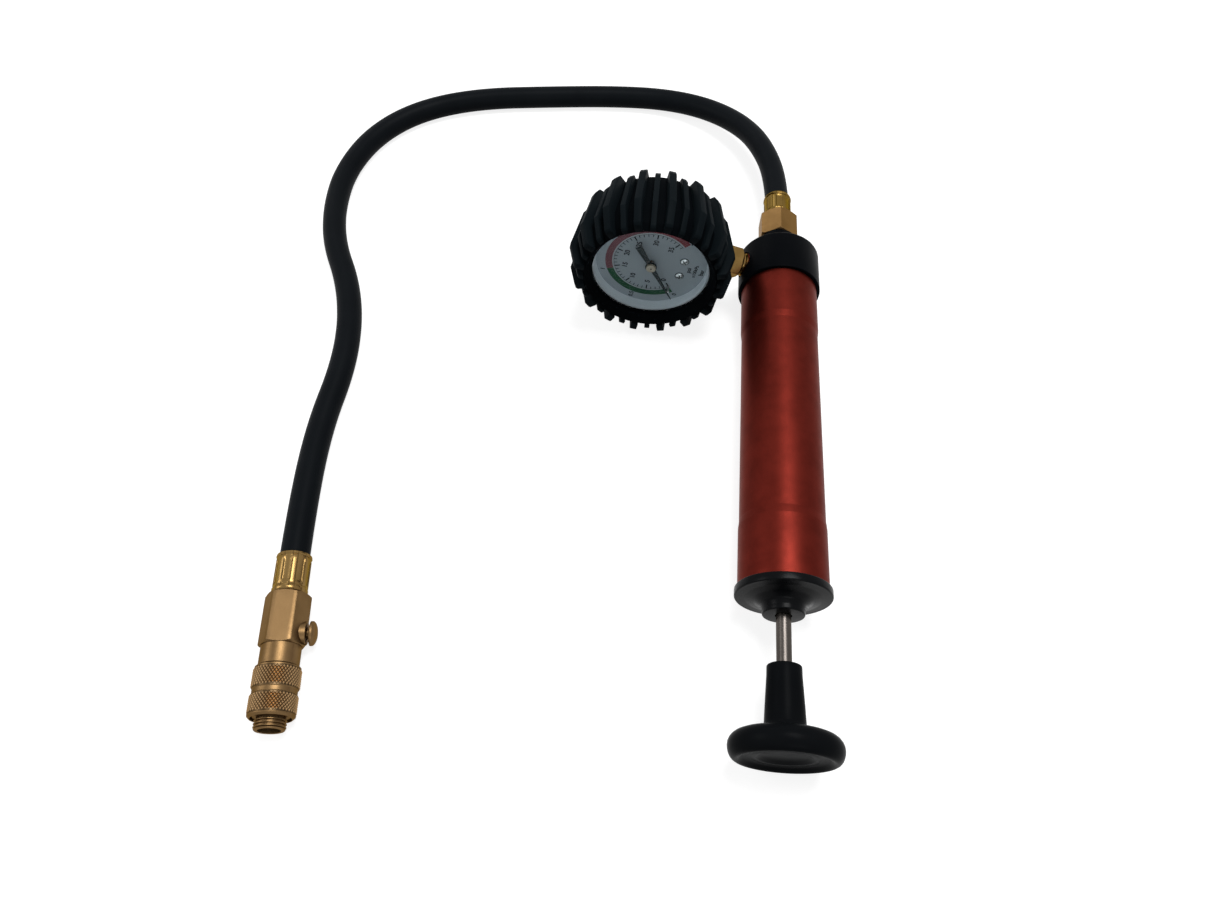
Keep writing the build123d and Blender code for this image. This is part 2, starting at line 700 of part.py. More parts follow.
front_plate_top = front_plate_foot + plate_thickness
with BuildPart() as hairspring:
    spiral_turns = 4
    spiral_start = 1.3
    spiral_pitch = 0.7
    outward = []
    inward = []
    for step in range(spiral_turns * 16 + 1):
        angle = step * 22.5
        middle = spiral_start + spiral_pitch * angle / 360
        outward.append(dial_point(middle + 0.1, angle)[:2])
        inward.append(dial_point(middle - 0.1, angle)[:2])
    extrude(outline(gauge.offset(front_plate_top + 0.3), *outward, *reversed(inward)), amount=0.8)
save(hairspring, "hairspring")

# Dial, needle, lens, case and boot
dial_foot = dial_height - dial_thickness
screw_spots = [dial_point(screw_ring_radius, dial_turn + side * screw_angle)[:2]
               for side in (-1, 1)]
screw_shank_radius = 0.8
screw_post_radius = 1.5
screw_head_radius = 1.9
with BuildPart() as dial_plate:
    with BuildSketch(gauge.offset(dial_foot)) as dial_shape:
        Circle(dial_radius)
        Circle(1.6, mode=Mode.SUBTRACT)
        with Locations(screw_spots):
            Circle(screw_shank_radius, mode=Mode.SUBTRACT)
    extrude(dial_shape.sketch, amount=dial_thickness)
save(dial_plate, "dial_plate")

with BuildPart() as dial_posts:
    with BuildSketch(gauge.offset(front_plate_top)) as post_shape:
        with Locations(screw_spots):
            Circle(screw_post_radius)
            Circle(screw_shank_radius, mode=Mode.SUBTRACT)
    extrude(post_shape.sketch, amount=dial_foot - front_plate_top)
save(dial_posts, "dial_posts")

with BuildPart() as dial_screws:
    for spot in screw_spots:
        with BuildSketch(gauge.offset(front_plate_top)) as shank:
            with Locations(spot):
                Circle(screw_shank_radius)
        extrude(shank.sketch, amount=dial_height - front_plate_top)
        with BuildSketch(gauge.offset(dial_height)) as head:
            with Locations(spot):
                Circle(screw_head_radius)
        extrude(head.sketch, amount=1.1, taper=18)
        with BuildSketch(gauge.offset(dial_height + 0.6)) as cross:
            with Locations(spot):
                Rectangle(2.2, 0.45, rotation=30)
                Rectangle(0.45, 2.2, rotation=30)
        extrude(cross.sketch, amount=0.6, mode=Mode.SUBTRACT)
save(dial_screws, "dial_screws")

with BuildPart() as stop_pin:
    with BuildSketch(gauge.offset(dial_height)) as pin_section:
        with Locations(dial_point(needle_length - 6.5, needle_zero + 4.2)[:2]):
            Circle(0.45)
    extrude(pin_section.sketch, amount=4.2)
save(stop_pin, "stop_pin")

needle_height = dial_height + 2.8
with BuildPart() as needle:
    with BuildSketch(gauge.offset(needle_height)) as needle_shape:
        with Locations(Location((0, 0, 0), (0, 0, needle_zero))):
            with BuildLine():
                Polyline((-needle_tail, -1.25), (-3.2, -1.25), (3.2, -1.0), (needle_length - 3, -0.35),
                         (needle_length, 0), (needle_length - 3, 0.35), (3.2, 1.0), (-3.2, 1.25),
                         (-needle_tail, 1.25), close=True)
            make_face()
            Circle(needle_eye_radius)
        Circle(arbor_radius + seat, mode=Mode.SUBTRACT)
    extrude(needle_shape.sketch, amount=0.5)
save(needle, "needle")

with BuildPart() as needle_hub:
    turn(gauge, (needle_height + 0.5, 0), (needle_height + 0.5, needle_hub_radius),
         (needle_height + 1.2, needle_hub_radius),
         (needle_height + 1.5, needle_hub_radius - 0.4), (needle_height + 1.5, 0))
    disc(gauge, needle_height + 0.5, dial_height + 3.4, arbor_radius + seat, mode=Mode.SUBTRACT)
save(needle_hub, "needle_hub")

lens_back = case_front - lens_thickness
with BuildPart() as spacer_ring:
    turn(gauge,
         (dial_height, dial_radius - 0.2), (dial_height, case_inner - seat),
         (lens_back, case_inner - seat), (lens_back, dial_radius + 0.4))
save(spacer_ring, "spacer_ring")

with BuildPart() as gauge_lens:
    turn(gauge, (lens_back, 0), (lens_back, case_inner - seat), (case_front, case_inner - seat),
         (case_front, lens_opening_radius - 2.2), (case_front - 0.5, lens_opening_radius - 3.2),
         (case_front - 0.5, 0))
save(gauge_lens, "gauge_lens")

with BuildPart() as gauge_case:
    turn(gauge,
         (case_back, 0), (case_back, case_radius), (case_front, case_radius),
         (case_front, case_inner), (dial_foot, case_inner), (dial_foot, dial_radius - 1.2),
         (dial_foot - 0.8, dial_radius - 1.2), (dial_foot - 0.8, case_inner),
         (case_back + case_wall, case_inner), (case_back + case_wall, 0),
         rounds={1: 2.0})
    disc(stem, gauge_reach - case_radius - 1, gauge_reach - case_inner + 1,
         stem_thread_radius + seat, mode=Mode.SUBTRACT)
save(gauge_case, "gauge_case")

# The boot's ribs rise from its body and run from a low front edge over a knee to the back
boot_bore = case_radius + 0.3
body_drop = tall_rib_height
face_drop = 3.8                       # of the front ring below the tall ribs' ends
back_slope = 4.0                      # length over which the ribs come down at the back
stem_notch = stem_hex / 3 ** 0.5 + 0.8


def rib(width, drop, angle):
    """One rib along the boot, lowered by drop, at an angle from the stem."""
    radial = (gauge.x_dir * cos(radians(angle)) + gauge.y_dir * sin(radians(angle)))
    across = Plane(origin=gauge.origin, x_dir=gauge.z_dir, z_dir=gauge.z_dir.cross(radial))
    top = boot_radius - drop
    ridge = outline(across.offset(-width / 2),
                    (boot_back, boot_radius - boot_back_drop - tall_rib_height - 1.0),
                    (boot_back, top - boot_back_drop - 2.2),
                    (boot_back + back_slope, top - boot_back_drop),
                    (boot_knee, top), (boot_front - 1.0, top - boot_front_drop),
                    (boot_front, top - boot_front_drop - 1.2),
                    (boot_front, boot_radius - boot_front_drop - face_drop - 1.0),
                    (boot_knee, boot_radius - tall_rib_height - 1.4))
    extrude(ridge, amount=width)


boot_phase = gauge_roll - 90 + 180 / boot_rib_count   # a short rib points straight down
with BuildPart() as gauge_boot:
    turn(gauge,
         (boot_back, boot_bore - 5), (boot_back, boot_radius - boot_back_drop - body_drop - 0.2),
         (boot_knee, boot_radius - body_drop), (boot_front, boot_radius - boot_front_drop - face_drop),
         (boot_front, lens_opening_radius + 2.8), (case_front + 0.5, lens_opening_radius),
         (case_front + 0.1, lens_opening_radius), (case_front + 0.1, boot_bore),
         (case_back - 0.1, boot_bore), (case_back - 0.1, boot_bore - 5),
         rounds={0: 0.8, 1: 0.8, 3: 1.0, 4: 0.8})
    for index in range(boot_rib_count):
        step_angle = 360 / boot_rib_count
        rib(tall_rib_width, 0, boot_phase + index * step_angle)
        rib(short_rib_width, short_rib_drop, boot_phase + (index + 0.5) * step_angle)
    disc(stem, gauge_reach - boot_radius - 1, gauge_reach - boot_bore + 2, stem_notch,
         mode=Mode.SUBTRACT)
save(gauge_boot, "gauge_boot")

# Hose: out of the cap's ferrule, down to the surface, round and back to the coupler
lying = hose_radius + 0.1
hose_start = pump.origin + pump.z_dir * (hex_top + 1.2)
hose_start_run = pump.origin + pump.z_dir * (hose_end_t + 17)
hose_end = coupler.origin + coupler.z_dir * (coupler_ferrule_length - 4.0)
hose_end_run = coupler.origin - coupler.z_dir * 26
hose_route = [
    hose_start, hose_start_run,
    Vector(34.5, 201, 18.4), Vector(22, 224, 14.4), Vector(1.5, 242.5, 10.4),
    Vector(-25, 253, 7.4), Vector(-57, 254, lying), Vector(-95, 250, lying),
    Vector(-144, 243.5, lying), Vector(-179.5, 228, lying), Vector(-202, 202.5, lying),
    Vector(-212, 169, lying), Vector(-210.5, 137, lying), Vector(-203, 109, lying),
    Vector(-188.5, 82, lying), Vector(-179.5, 53.5, lying), Vector(-176, 23.5, lying),
    Vector(-178, -12, lying),
    hose_end_run, hose_end,
]
bend_radii = []
for before, corner, after in zip(hose_route, hose_route[1:], hose_route[2:]):
    run_in = corner - before
    run_out = after - corner
    half_turn = radians(run_in.get_angle(run_out)) / 2
    bend_radii.append(0.45 * min(run_in.length, run_out.length) / tan(half_turn))
print("hose bend radii:", [round(bend) for bend in bend_radii])
with BuildPart() as hose:
    with BuildLine() as hose_path:
        FilletPolyline(*hose_route, radius=bend_radii)
    hose_wire = hose_path.wire()
    with BuildSketch(Plane(origin=hose_wire @ 0, z_dir=hose_wire % 0)) as hose_section:
        Circle(hose_radius)
        Circle(hose_bore_radius, mode=Mode.SUBTRACT)
    sweep(hose_section.sketch, path=hose_wire)
hose_area = pi * (hose_radius ** 2 - hose_bore_radius ** 2)
print("hose length:", round(hose_wire.length, 1),
      "volume / (section x length):", round(hose.part.volume / hose_area / hose_wire.length, 4))
save(hose, "hose")

# Coupler: ferrule, hex body with its relief button, and a sprung sleeve that locks a nipple in
coupler_mouth = Plane(origin=coupler.origin + coupler.z_dir * coupler_ferrule_length,
                      x_dir=coupler.x_dir, z_dir=coupler.z_dir * -1)
coupler_ferrule = ferrule(coupler_mouth, 0, coupler_ferrule_length)
save(coupler_ferrule, "coupler_ferrule")

body_hex_end = coupler_hex_start + coupler_hex_length
body_end = body_hex_end + coupler_body_length
socket_tube_end = body_end + socket_tube_length
sleeve_back = body_end + 0.5
land_back = sleeve_back + sleeve_land_start
land_front = land_back + sleeve_land_length
sleeve_front = sleeve_back + sleeve_length
ring_back = land_front + 0.1
ring_front = ring_back + 0.9
seal_back = body_end + 4.0
seal_front = seal_back + 1.8
socket_floor = body_end + 1.0
button_boss_radius = 4.0
button_boss_top = 9.6
button_stem_radius = 1.6
button_floor = 3.0
with BuildPart() as coupler_body:
    barb = []
    for step in range(3):
        barb += [(5.0 + 4.0 * step, barb_radius - 0.6), (5.0 + 4.0 * step, barb_radius)]
    turn(coupler,
         (1.0, 0), (1.0, barb_radius - 1.0), *barb,
         (coupler_ferrule_length, barb_radius), (coupler_ferrule_length, ferrule_radius - 1.0),
         (coupler_hex_start, ferrule_radius - 1.0), (coupler_hex_start, 0))
    hexagon(coupler, coupler_hex_start, body_hex_end, coupler_hex, roll=90 - coupler_hex_roll)
    disc(coupler, body_hex_end, body_end, coupler_body_radius)
    disc(coupler, body_end, socket_tube_end, socket_tube_radius)
    disc(button, 0, button_boss_top, button_boss_radius)
    disc(coupler, 1.0, socket_floor, adapter_bore_radius, mode=Mode.SUBTRACT)
    disc(coupler, socket_floor, socket_tube_end, socket_bore_radius, mode=Mode.SUBTRACT)
    disc(coupler, seal_back, seal_front, socket_bore_radius + 1.2, mode=Mode.SUBTRACT)
    ring(coupler, ring_back, ring_front, socket_tube_radius + 1, socket_tube_radius - 0.5,
         mode=Mode.SUBTRACT)
    disc(button, 0, button_floor, button_stem_radius + running, mode=Mode.SUBTRACT)
    disc(button, button_floor, button_boss_top + 2, button_boss_radius - 1.2, mode=Mode.SUBTRACT)
    for index in range(ball_count):
        around = radians(360 / ball_count * index)
        ball_hole = Plane(
            origin=coupler.origin + coupler.z_dir * ball_place,
            x_dir=coupler.z_dir,
            z_dir=coupler.x_dir * cos(around) + coupler.y_dir * sin(around),
        )
        disc(ball_hole, 3, socket_tube_radius + 1, ball_radius + seat, mode=Mode.SUBTRACT)
save(coupler_body, "coupler_body")

button_seat = button_boss_top + button_travel + 0.2
with BuildPart() as relief_button:
    turn(button,
         (button_seat, 0), (button_seat, button_radius), (button_seat + 1.0, button_radius),
         (button_seat + 1.8, button_radius * 0.78), (button_seat + 2.3, 0),
         rounds={2: 0.4, 3: 1.5})
    disc(button, button_floor - 0.4, button_seat, button_stem_radius)
save(relief_button, "relief_button")

with BuildPart() as relief_seal:
    ring(button, button_floor + seat, button_floor + 1.0, button_boss_radius - 1.25,
         button_stem_radius + running)
save(relief_seal, "relief_seal")

relief_wire = 0.35
with BuildPart() as relief_spring:
    coil(button, button_floor + 1.05, button_seat - seat, button_stem_radius + 0.6,
         relief_wire, 3)
save(relief_spring, "relief_spring")

with BuildPart() as sleeve_spring:
    coil(coupler, body_end + seat, land_back - seat, 7.58, 0.45, 4)
save(sleeve_spring, "sleeve_spring")

with BuildPart() as snap_ring:
    with BuildSketch(coupler.offset(ring_back + 0.05)) as ring_shape:
        Circle(socket_tube_radius + 0.9)
        Circle(socket_tube_radius - 0.45, mode=Mode.SUBTRACT)
        with Locations((0, socket_tube_radius)):
            Rectangle(2.0, 4.0, mode=Mode.SUBTRACT)
    extrude(ring_shape.sketch, amount=0.8)
save(snap_ring, "snap_ring")

with BuildPart() as coupler_seal:
    ring(coupler, seal_back + 0.1, seal_front - 0.1, socket_bore_radius + 1.15,
         socket_bore_radius - 0.02)
save(coupler_seal, "coupler_seal")

with BuildPart() as coupler_sleeve:
    knurl_back_end = sleeve_back + knurl_back_length
    knurl_front_start = knurl_back_end + knurl_gap
    knurl_front_end = knurl_front_start + knurl_front_length
    turn(coupler,
         (sleeve_back, sleeve_pocket_radius), (sleeve_back, sleeve_radius - 0.5),
         (sleeve_back + 0.5, sleeve_radius), (knurl_back_end, sleeve_radius),
         (knurl_back_end + 0.3, sleeve_radius - 0.4), (knurl_front_start - 0.3, sleeve_radius - 0.4),
         (knurl_front_start, sleeve_radius), (knurl_front_end, sleeve_radius),
         (knurl_front_end + 0.2, sleeve_radius - 0.3), (sleeve_front, sleeve_radius - 1.1),
         (sleeve_front, sleeve_pocket_radius - 0.2), (land_front, sleeve_pocket_radius - 0.2),
         (land_front, socket_tube_radius + running), (land_back, socket_tube_radius + running),
         (land_back, sleeve_pocket_radius))
save(coupler_sleeve, "coupler_sleeve")

nipple_tail = body_end + 1.6
nipple_tail_radius = socket_bore_radius - running
groove_radius = 4.08
with BuildPart() as coupler_nipple:
    turn(coupler,
         (nipple_tail, adapter_bore_radius), (nipple_tail, nipple_tail_radius - 0.5),
         (nipple_tail + 0.5, nipple_tail_radius),
         (ball_place - 1.4, nipple_tail_radius), (ball_place - 0.9, groove_radius),
         (ball_place + 0.9, groove_radius), (ball_place + 1.4, nipple_tail_radius),
         (socket_tube_end + 0.1, nipple_tail_radius), (socket_tube_end + 0.1, 7.4),
         (sleeve_front - 1.0, 7.4), (sleeve_front - 0.4, nipple_thread_radius),
         (nipple_end - 0.6, nipple_thread_radius), (nipple_end, nipple_thread_radius - 0.6),
         (nipple_end, nipple_bore_radius), (socket_tube_end + 1.0, nipple_bore_radius),
         (socket_tube_end + 1.0, adapter_bore_radius))
save(coupler_nipple, "coupler_nipple")

with BuildPart() as locking_balls:
    for index in range(ball_count):
        around = radians(360 / ball_count * index)
        outward = coupler.x_dir * cos(around) + coupler.y_dir * sin(around)
        with Locations(coupler.origin + coupler.z_dir * ball_place
                       + outward * (socket_tube_radius - ball_radius)):
            Sphere(ball_radius)
save(locking_balls, "locking_balls")
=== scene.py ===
import json
import math

import bmesh
import bpy
from mathutils import Matrix, Vector


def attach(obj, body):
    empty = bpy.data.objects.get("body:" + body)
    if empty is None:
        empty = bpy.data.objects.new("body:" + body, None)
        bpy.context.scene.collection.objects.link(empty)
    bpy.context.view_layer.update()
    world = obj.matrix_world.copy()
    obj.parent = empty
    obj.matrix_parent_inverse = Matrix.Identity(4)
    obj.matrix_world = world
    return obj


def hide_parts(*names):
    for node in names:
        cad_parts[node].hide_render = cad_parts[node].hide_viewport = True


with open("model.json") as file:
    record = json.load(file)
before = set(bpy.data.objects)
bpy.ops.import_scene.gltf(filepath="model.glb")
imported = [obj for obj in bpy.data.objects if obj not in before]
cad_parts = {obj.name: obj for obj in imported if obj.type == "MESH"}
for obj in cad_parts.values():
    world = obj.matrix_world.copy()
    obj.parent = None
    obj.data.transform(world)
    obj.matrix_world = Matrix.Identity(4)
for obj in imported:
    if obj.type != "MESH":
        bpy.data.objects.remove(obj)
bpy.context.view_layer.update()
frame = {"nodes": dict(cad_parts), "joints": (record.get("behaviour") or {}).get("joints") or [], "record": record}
nodes = frame["nodes"]
joints = {joint["name"]: joint for joint in frame["joints"]}
mounts = {mount["name"]: mount for mount in frame["record"]["mounts"]}
scene = bpy.context.scene
print("frame loaded,", len(nodes), "nodes")


# Places: every frame's Z runs along the piece, worked out from the joints and mounts

def frameAt(origin, along, side):
    z = Vector(along).normalized()
    x = Vector(side)
    x = (x - z * x.dot(z)).normalized()
    place = Matrix((x, z.cross(x), z)).transposed().to_4x4()
    place.translation = Vector(origin)
    return place


# how far a joint or mount lies from the zero of the piece that it places
toZero = {"pump": 0.1000, "gauge": 0.0090, "coupler": 0.0715, "button": 0.0352}
pumpAxis = Vector(joints["rod_spin"]["axis"])
pumpOrigin = Vector(joints["rod_spin"]["pos_m"]) + pumpAxis * toZero["pump"]   # the top cap's lower rim
pumpPlace = frameAt(pumpOrigin, pumpAxis, (-1, 0, 0))
gaugeAxis = Vector(joints["needle_turn"]["axis"])
gaugeOrigin = Vector(joints["needle_turn"]["pos_m"]) - gaugeAxis * toZero["gauge"]   # the stem's plane
stemFoot = pumpOrigin + pumpAxis * (gaugeOrigin - pumpOrigin).dot(pumpAxis)
gaugePlace = frameAt(gaugeOrigin, gaugeAxis, stemFoot - gaugeOrigin)
stemPlace = frameAt(stemFoot, gaugeOrigin - stemFoot, pumpAxis)
couplerAxis = Vector(mounts["nipple_bore"]["axis"])
couplerOrigin = Vector(mounts["nipple_bore"]["pos_m"]) - couplerAxis * toZero["coupler"]
couplerPlace = frameAt(couplerOrigin, couplerAxis, Vector((0, 0, 1)).cross(couplerAxis))
buttonAxis = -Vector(joints["button_press"]["axis"])
buttonPlace = frameAt(couplerOrigin + couplerAxis * toZero["button"], buttonAxis, couplerAxis)


# Shader tools

class Wire:                                   # a socket that takes part in sums
    def __init__(self, maker, socket):
        self.maker = maker
        self.socket = socket

    def __add__(self, other):
        return self.maker.maths("ADD", self, other)

    def __radd__(self, other):
        return self.maker.maths("ADD", other, self)

    def __sub__(self, other):
        return self.maker.maths("SUBTRACT", self, other)

    def __rsub__(self, other):
        return self.maker.maths("SUBTRACT", other, self)

    def __mul__(self, other):
        return self.maker.maths("MULTIPLY", self, other)

    def __rmul__(self, other):
        return self.maker.maths("MULTIPLY", other, self)

    def __pow__(self, other):
        return self.maker.maths("POWER", self, other)


class Maker:                                  # builds the nodes of one material, or of the world
    def __init__(self, owner):
        self.owner = owner
        owner.use_nodes = True
        self.tree = owner.node_tree
        self.tree.nodes.clear()

    def node(self, kind, settings=None, inputs=None, output=0):
        made = self.tree.nodes.new("ShaderNode" + kind)
        for key, value in (settings or {}).items():
            setattr(made, key, value)
        for key, value in (inputs or {}).items():
            if isinstance(value, Wire):
                self.tree.links.new(value.socket, made.inputs[key])
            else:
                made.inputs[key].default_value = value
        return Wire(self, made.outputs[output]) if len(made.outputs) else None

    def maths(self, operation, first, second=0.0):
        return self.node("Math", {"operation": operation}, {0: first, 1: second})

    def coords(self, stretch=(1, 1, 1), turn=(0, 0, 0)):
        spot = self.node("TexCoord", output="Object")
        return self.node("Mapping", None, {"Vector": spot, "Scale": stretch, "Rotation": turn})

    def across(self, place):                  # x and y in the frame of a piece that lies along Z
        back = place.inverted()
        spot = self.node("Mapping", None, {"Vector": self.node("TexCoord", output="Object"),
                                           "Rotation": back.to_euler(), "Location": back.translation})
        return [self.node("SeparateXYZ", None, {0: spot}, output) for output in (0, 1)]

    def noise(self, scale, detail=3.0, stretch=(1, 1, 1), turn=(0, 0, 0)):
        return self.node("TexNoise", None, {"Vector": self.coords(stretch, turn), "Scale": scale,
                                            "Detail": detail, "Roughness": 0.55})

    def mix(self, factor, first, second):
        rgba = [(*c, 1) if isinstance(c, tuple) else c for c in (first, second)]
        return self.node("Mix", {"data_type": "RGBA"}, {0: factor, 6: rgba[0], 7: rgba[1]}, 2)

    def span(self, value, low, high, fromLow=0.0, fromHigh=1.0):
        return self.node("MapRange", None, {"Value": value, "From Min": fromLow,
                                            "From Max": fromHigh, "To Min": low, "To Max": high})

    def bump(self, height, strength, distance):
        return self.node("Bump", None, {"Height": height, "Strength": strength,
                                        "Distance": distance})

    def surface(self, specular=0.5, **inputs):
        named = {key.replace("_", " "): value for key, value in inputs.items()}
        named["Specular IOR Level"] = specular
        return self.finish(self.node("BsdfPrincipled", None, named))

    def finish(self, shader, output="OutputMaterial"):
        self.node(output, None, {"Surface": shader})
        return self.owner


# Materials

def stained(m, stains, colour, dark, low=0.38, high=0.68):
    # one colour where the stains are weak, the dark one where they are strong
    return m.mix(m.span(stains, 0, 1, low, high), colour, dark)


def metal(name, colour, dark, rough, grain=900, tarnish=70, bump=0.05, turn=(0, 0, 0),
          stretch=(1, 1, 1), edge=(0.62, 0.52, 0.42)):
    # dark is the colour of the stains, and edge tints what the metal mirrors at a low angle
    m = Maker(bpy.data.materials.new(name))
    stains = m.noise(tarnish, 4)
    fine = m.noise(grain, 2, stretch, turn)
    tint = stained(m, stains, colour, dark)
    roughness = m.span(fine, rough * 0.85, rough * 1.25) + m.span(stains, -0.04, 0.06)
    return m.surface(Base_Color=tint, Metallic=1.0, Roughness=roughness,
                     Specular_Tint=(*edge, 1), Normal=m.bump(fine, bump, 0.0002))


def moulded(name, colour, dark, rough, grain=1500, bump=0.12, patch=45, specular=0.5):
    # plastic, rubber or paint whose colour and gloss drift from patch to patch
    m = Maker(bpy.data.materials.new(name))
    fine = m.noise(grain, 2)
    patches = m.noise(patch, 3)
    tint = stained(m, patches, colour, dark, 0.35, 0.7)
    roughness = m.span(patches, rough - 0.05, rough + 0.08) + m.span(fine, -0.02, 0.03)
    return m.surface(specular, Base_Color=tint, Roughness=roughness,
                     Normal=m.bump(fine, bump, 0.00012))


anodisedRed = metal("anodisedRed", (0.092, 0.0110, 0.0074), (0.072, 0.0086, 0.0058), 0.38, grain=2600,
                    tarnish=120, bump=0.10, edge=(0.76, 0.60, 0.58))
blackCoat = moulded("blackCoat", (0.0016, 0.0021, 0.0029), (0.0012, 0.0016, 0.0022), 0.34,
                    specular=0.012)
blackHandle = moulded("blackHandle", (0.0044, 0.0050, 0.0058), (0.0033, 0.0038, 0.0045), 0.28,
                      grain=1900, specular=0.008)
blackGloss = moulded("blackGloss", (0.0030, 0.0034, 0.0040), (0.0022, 0.0025, 0.0030), 0.24, specular=0.045)
bootRubber = moulded("bootRubber", (0.0044, 0.0066, 0.0080), (0.0032, 0.0050, 0.0062), 0.46,
                     grain=2200, bump=0.18, specular=0.010)
# painted shade: a darker copy of bootRubber, for the skin between the ribs
bootPaintedShade = moulded("bootPaintedShade", (0.0019, 0.0027, 0.0034), (0.0014, 0.0020, 0.0026), 0.50,
                    grain=2200, bump=0.18, specular=0.004)
hoseRubber = moulded("hoseRubber", (0.0050, 0.0062, 0.0076), (0.0038, 0.0048, 0.0060), 0.42,
                     grain=1200, bump=0.22, specular=0.020)
alongPump = pumpPlace.to_3x3().inverted().to_euler()     # lays a pattern's Z along the pump
bareSteel = metal("bareSteel", (0.078, 0.069, 0.063), (0.060, 0.053, 0.048), 0.26, grain=700,
                  turn=alongPump, stretch=(6, 6, 0.35), bump=0.10, edge=(0.6, 0.58, 0.56))
springSteel = metal("springSteel", (0.45, 0.45, 0.46), (0.36, 0.36, 0.37), 0.30)
screwNickel = metal("screwNickel", (0.46, 0.48, 0.48), (0.38, 0.40, 0.40), 0.30)
turnedBrass = metal("turnedBrass", (0.190, 0.110, 0.043), (0.140, 0.080, 0.030), 0.30)
couplerBrass = metal("couplerBrass", (0.148, 0.090, 0.040), (0.115, 0.069, 0.030), 0.37)
stemBrass = metal("stemBrass", (0.225, 0.142, 0.048), (0.150, 0.090, 0.028), 0.16)
fibreRed = moulded("fibreRed", (0.50, 0.06, 0.03), (0.38, 0.04, 0.02), 0.5)
whiteRing = moulded("whiteRing", (0.88, 0.93, 0.97), (0.82, 0.88, 0.93), 0.35)
# painted shade: the white dial is given a light grey, for the shade it lies in inside the case
dialFace = moulded("dialFace", (0.36, 0.40, 0.43), (0.33, 0.37, 0.40), 0.45, grain=3000, bump=0.02,
                   specular=0.1)


def ink(name, colour, dark, patch=45, specular=0.1):
    return moulded(name, colour, dark, 0.5, bump=0.02, patch=patch, specular=specular)


# black print; also the painted shadow and slot shade round the dial screws
inkBlackAndShade = ink("inkBlackAndShade", (0.008, 0.011, 0.013), (0.006, 0.008, 0.010), specular=0.05)
inkGreen = ink("inkGreen", (0.012, 0.075, 0.034), (0.010, 0.062, 0.028))
inkRed = ink("inkRed", (0.215, 0.050, 0.062), (0.190, 0.042, 0.052))
inkPink = ink("inkPink", (0.200, 0.085, 0.100), (0.155, 0.055, 0.068), patch=900)
inkWhite = ink("inkWhite", (0.42, 0.45, 0.47), (0.40, 0.43, 0.45))
needleEnamel = moulded("needleEnamel", (0.022, 0.032, 0.034), (0.018, 0.026, 0.028), 0.40, specular=0.08)
hubCream = moulded("hubCream", (0.42, 0.36, 0.27), (0.36, 0.30, 0.22), 0.32)
cupLeather = moulded("cupLeather", (0.12, 0.065, 0.035), (0.08, 0.045, 0.025), 0.6, grain=900, bump=0.4)


# a ferrule's flutes: how many, and the cosine round the ferrule at the top and foot of their sides
flutes = {"count": 8, "top": -0.55, "foot": -0.15}


def crimped(name, place, colour, dark, paintedShadeStrength=0.7):
    # a bright crimped ferrule, with painted shade along both sides of every flute
    m = Maker(bpy.data.materials.new(name))
    x, y = m.across(place)
    wave = m.maths("COSINE", m.maths("ARCTAN2", y, x) * flutes["count"])
    side = m.maths("ABSOLUTE", wave - (flutes["top"] + flutes["foot"]) / 2)
    line = m.span(side, 1, 0, 0.06, 0.26)
    stains = m.noise(90, 4)
    # the colour of the painted shade along the flute sides
    paintedShadeColour = tuple(part * 0.40 for part in dark)
    tint = m.mix(line * paintedShadeStrength, stained(m, stains, colour, dark), paintedShadeColour)
    return m.surface(Base_Color=tint, Metallic=1.0,
                     Roughness=m.span(stains, 0.20, 0.30), Specular_Tint=(0.7, 0.6, 0.4, 1),
                     Normal=m.bump(stains, 0.03, 0.0002))


pumpCrimp = crimped("pumpCrimp", pumpPlace, (0.180, 0.114, 0.033), (0.138, 0.084, 0.023))
couplerCrimp = crimped("couplerCrimp", couplerPlace, (0.205, 0.130, 0.048), (0.165, 0.100, 0.034))


def knurledBrass(grooves, tops):
    # painted highlight on the crossings and painted shade in the grooves under them; both are given by their
    # radius
    m = Maker(bpy.data.materials.new("knurledBrass"))
    x, y = m.across(couplerPlace)
    raised = m.span((x * x + y * y) ** 0.5, 0, 1, grooves, tops)
    stains = m.noise(90, 4)
    # low is the painted shade of the grooves, high the painted highlight of the crossings
    low = m.mix(stains, (0.050, 0.032, 0.016), (0.072, 0.046, 0.023))
    high = m.mix(stains, (0.390, 0.244, 0.118), (0.320, 0.198, 0.094))
    return m.surface(Base_Color=m.mix(raised, low, high), Metallic=1.0,
                     Roughness=m.span(stains, 0.28, 0.38), Specular_Tint=(0.62, 0.52, 0.42, 1),
                     Normal=m.bump(stains, 0.03, 0.0002))


gripBrass = knurledBrass(0.00912, 0.00940)


def clearLens(index=1.45, strength=0.12):
    # a clear pane whose gloss is held back, because the white room would veil the dial
    m = Maker(bpy.data.materials.new("clearLens"))
    front = 1 - m.node("NewGeometry", output="Backfacing")    # a ray leaves the pane as it came
    edge = m.node("Fresnel", None, {"IOR": index}) * front * strength
    through = m.node("BsdfTransparent", None, {"Color": (0.94, 0.97, 0.98, 1)})
    shine = m.node("BsdfGlossy", None, {"Color": (1, 1, 1, 1),
                                        "Roughness": m.span(m.noise(60), 0.02, 0.06)})
    return m.finish(m.node("MixShader", None, {0: edge, 1: through, 2: shine}))


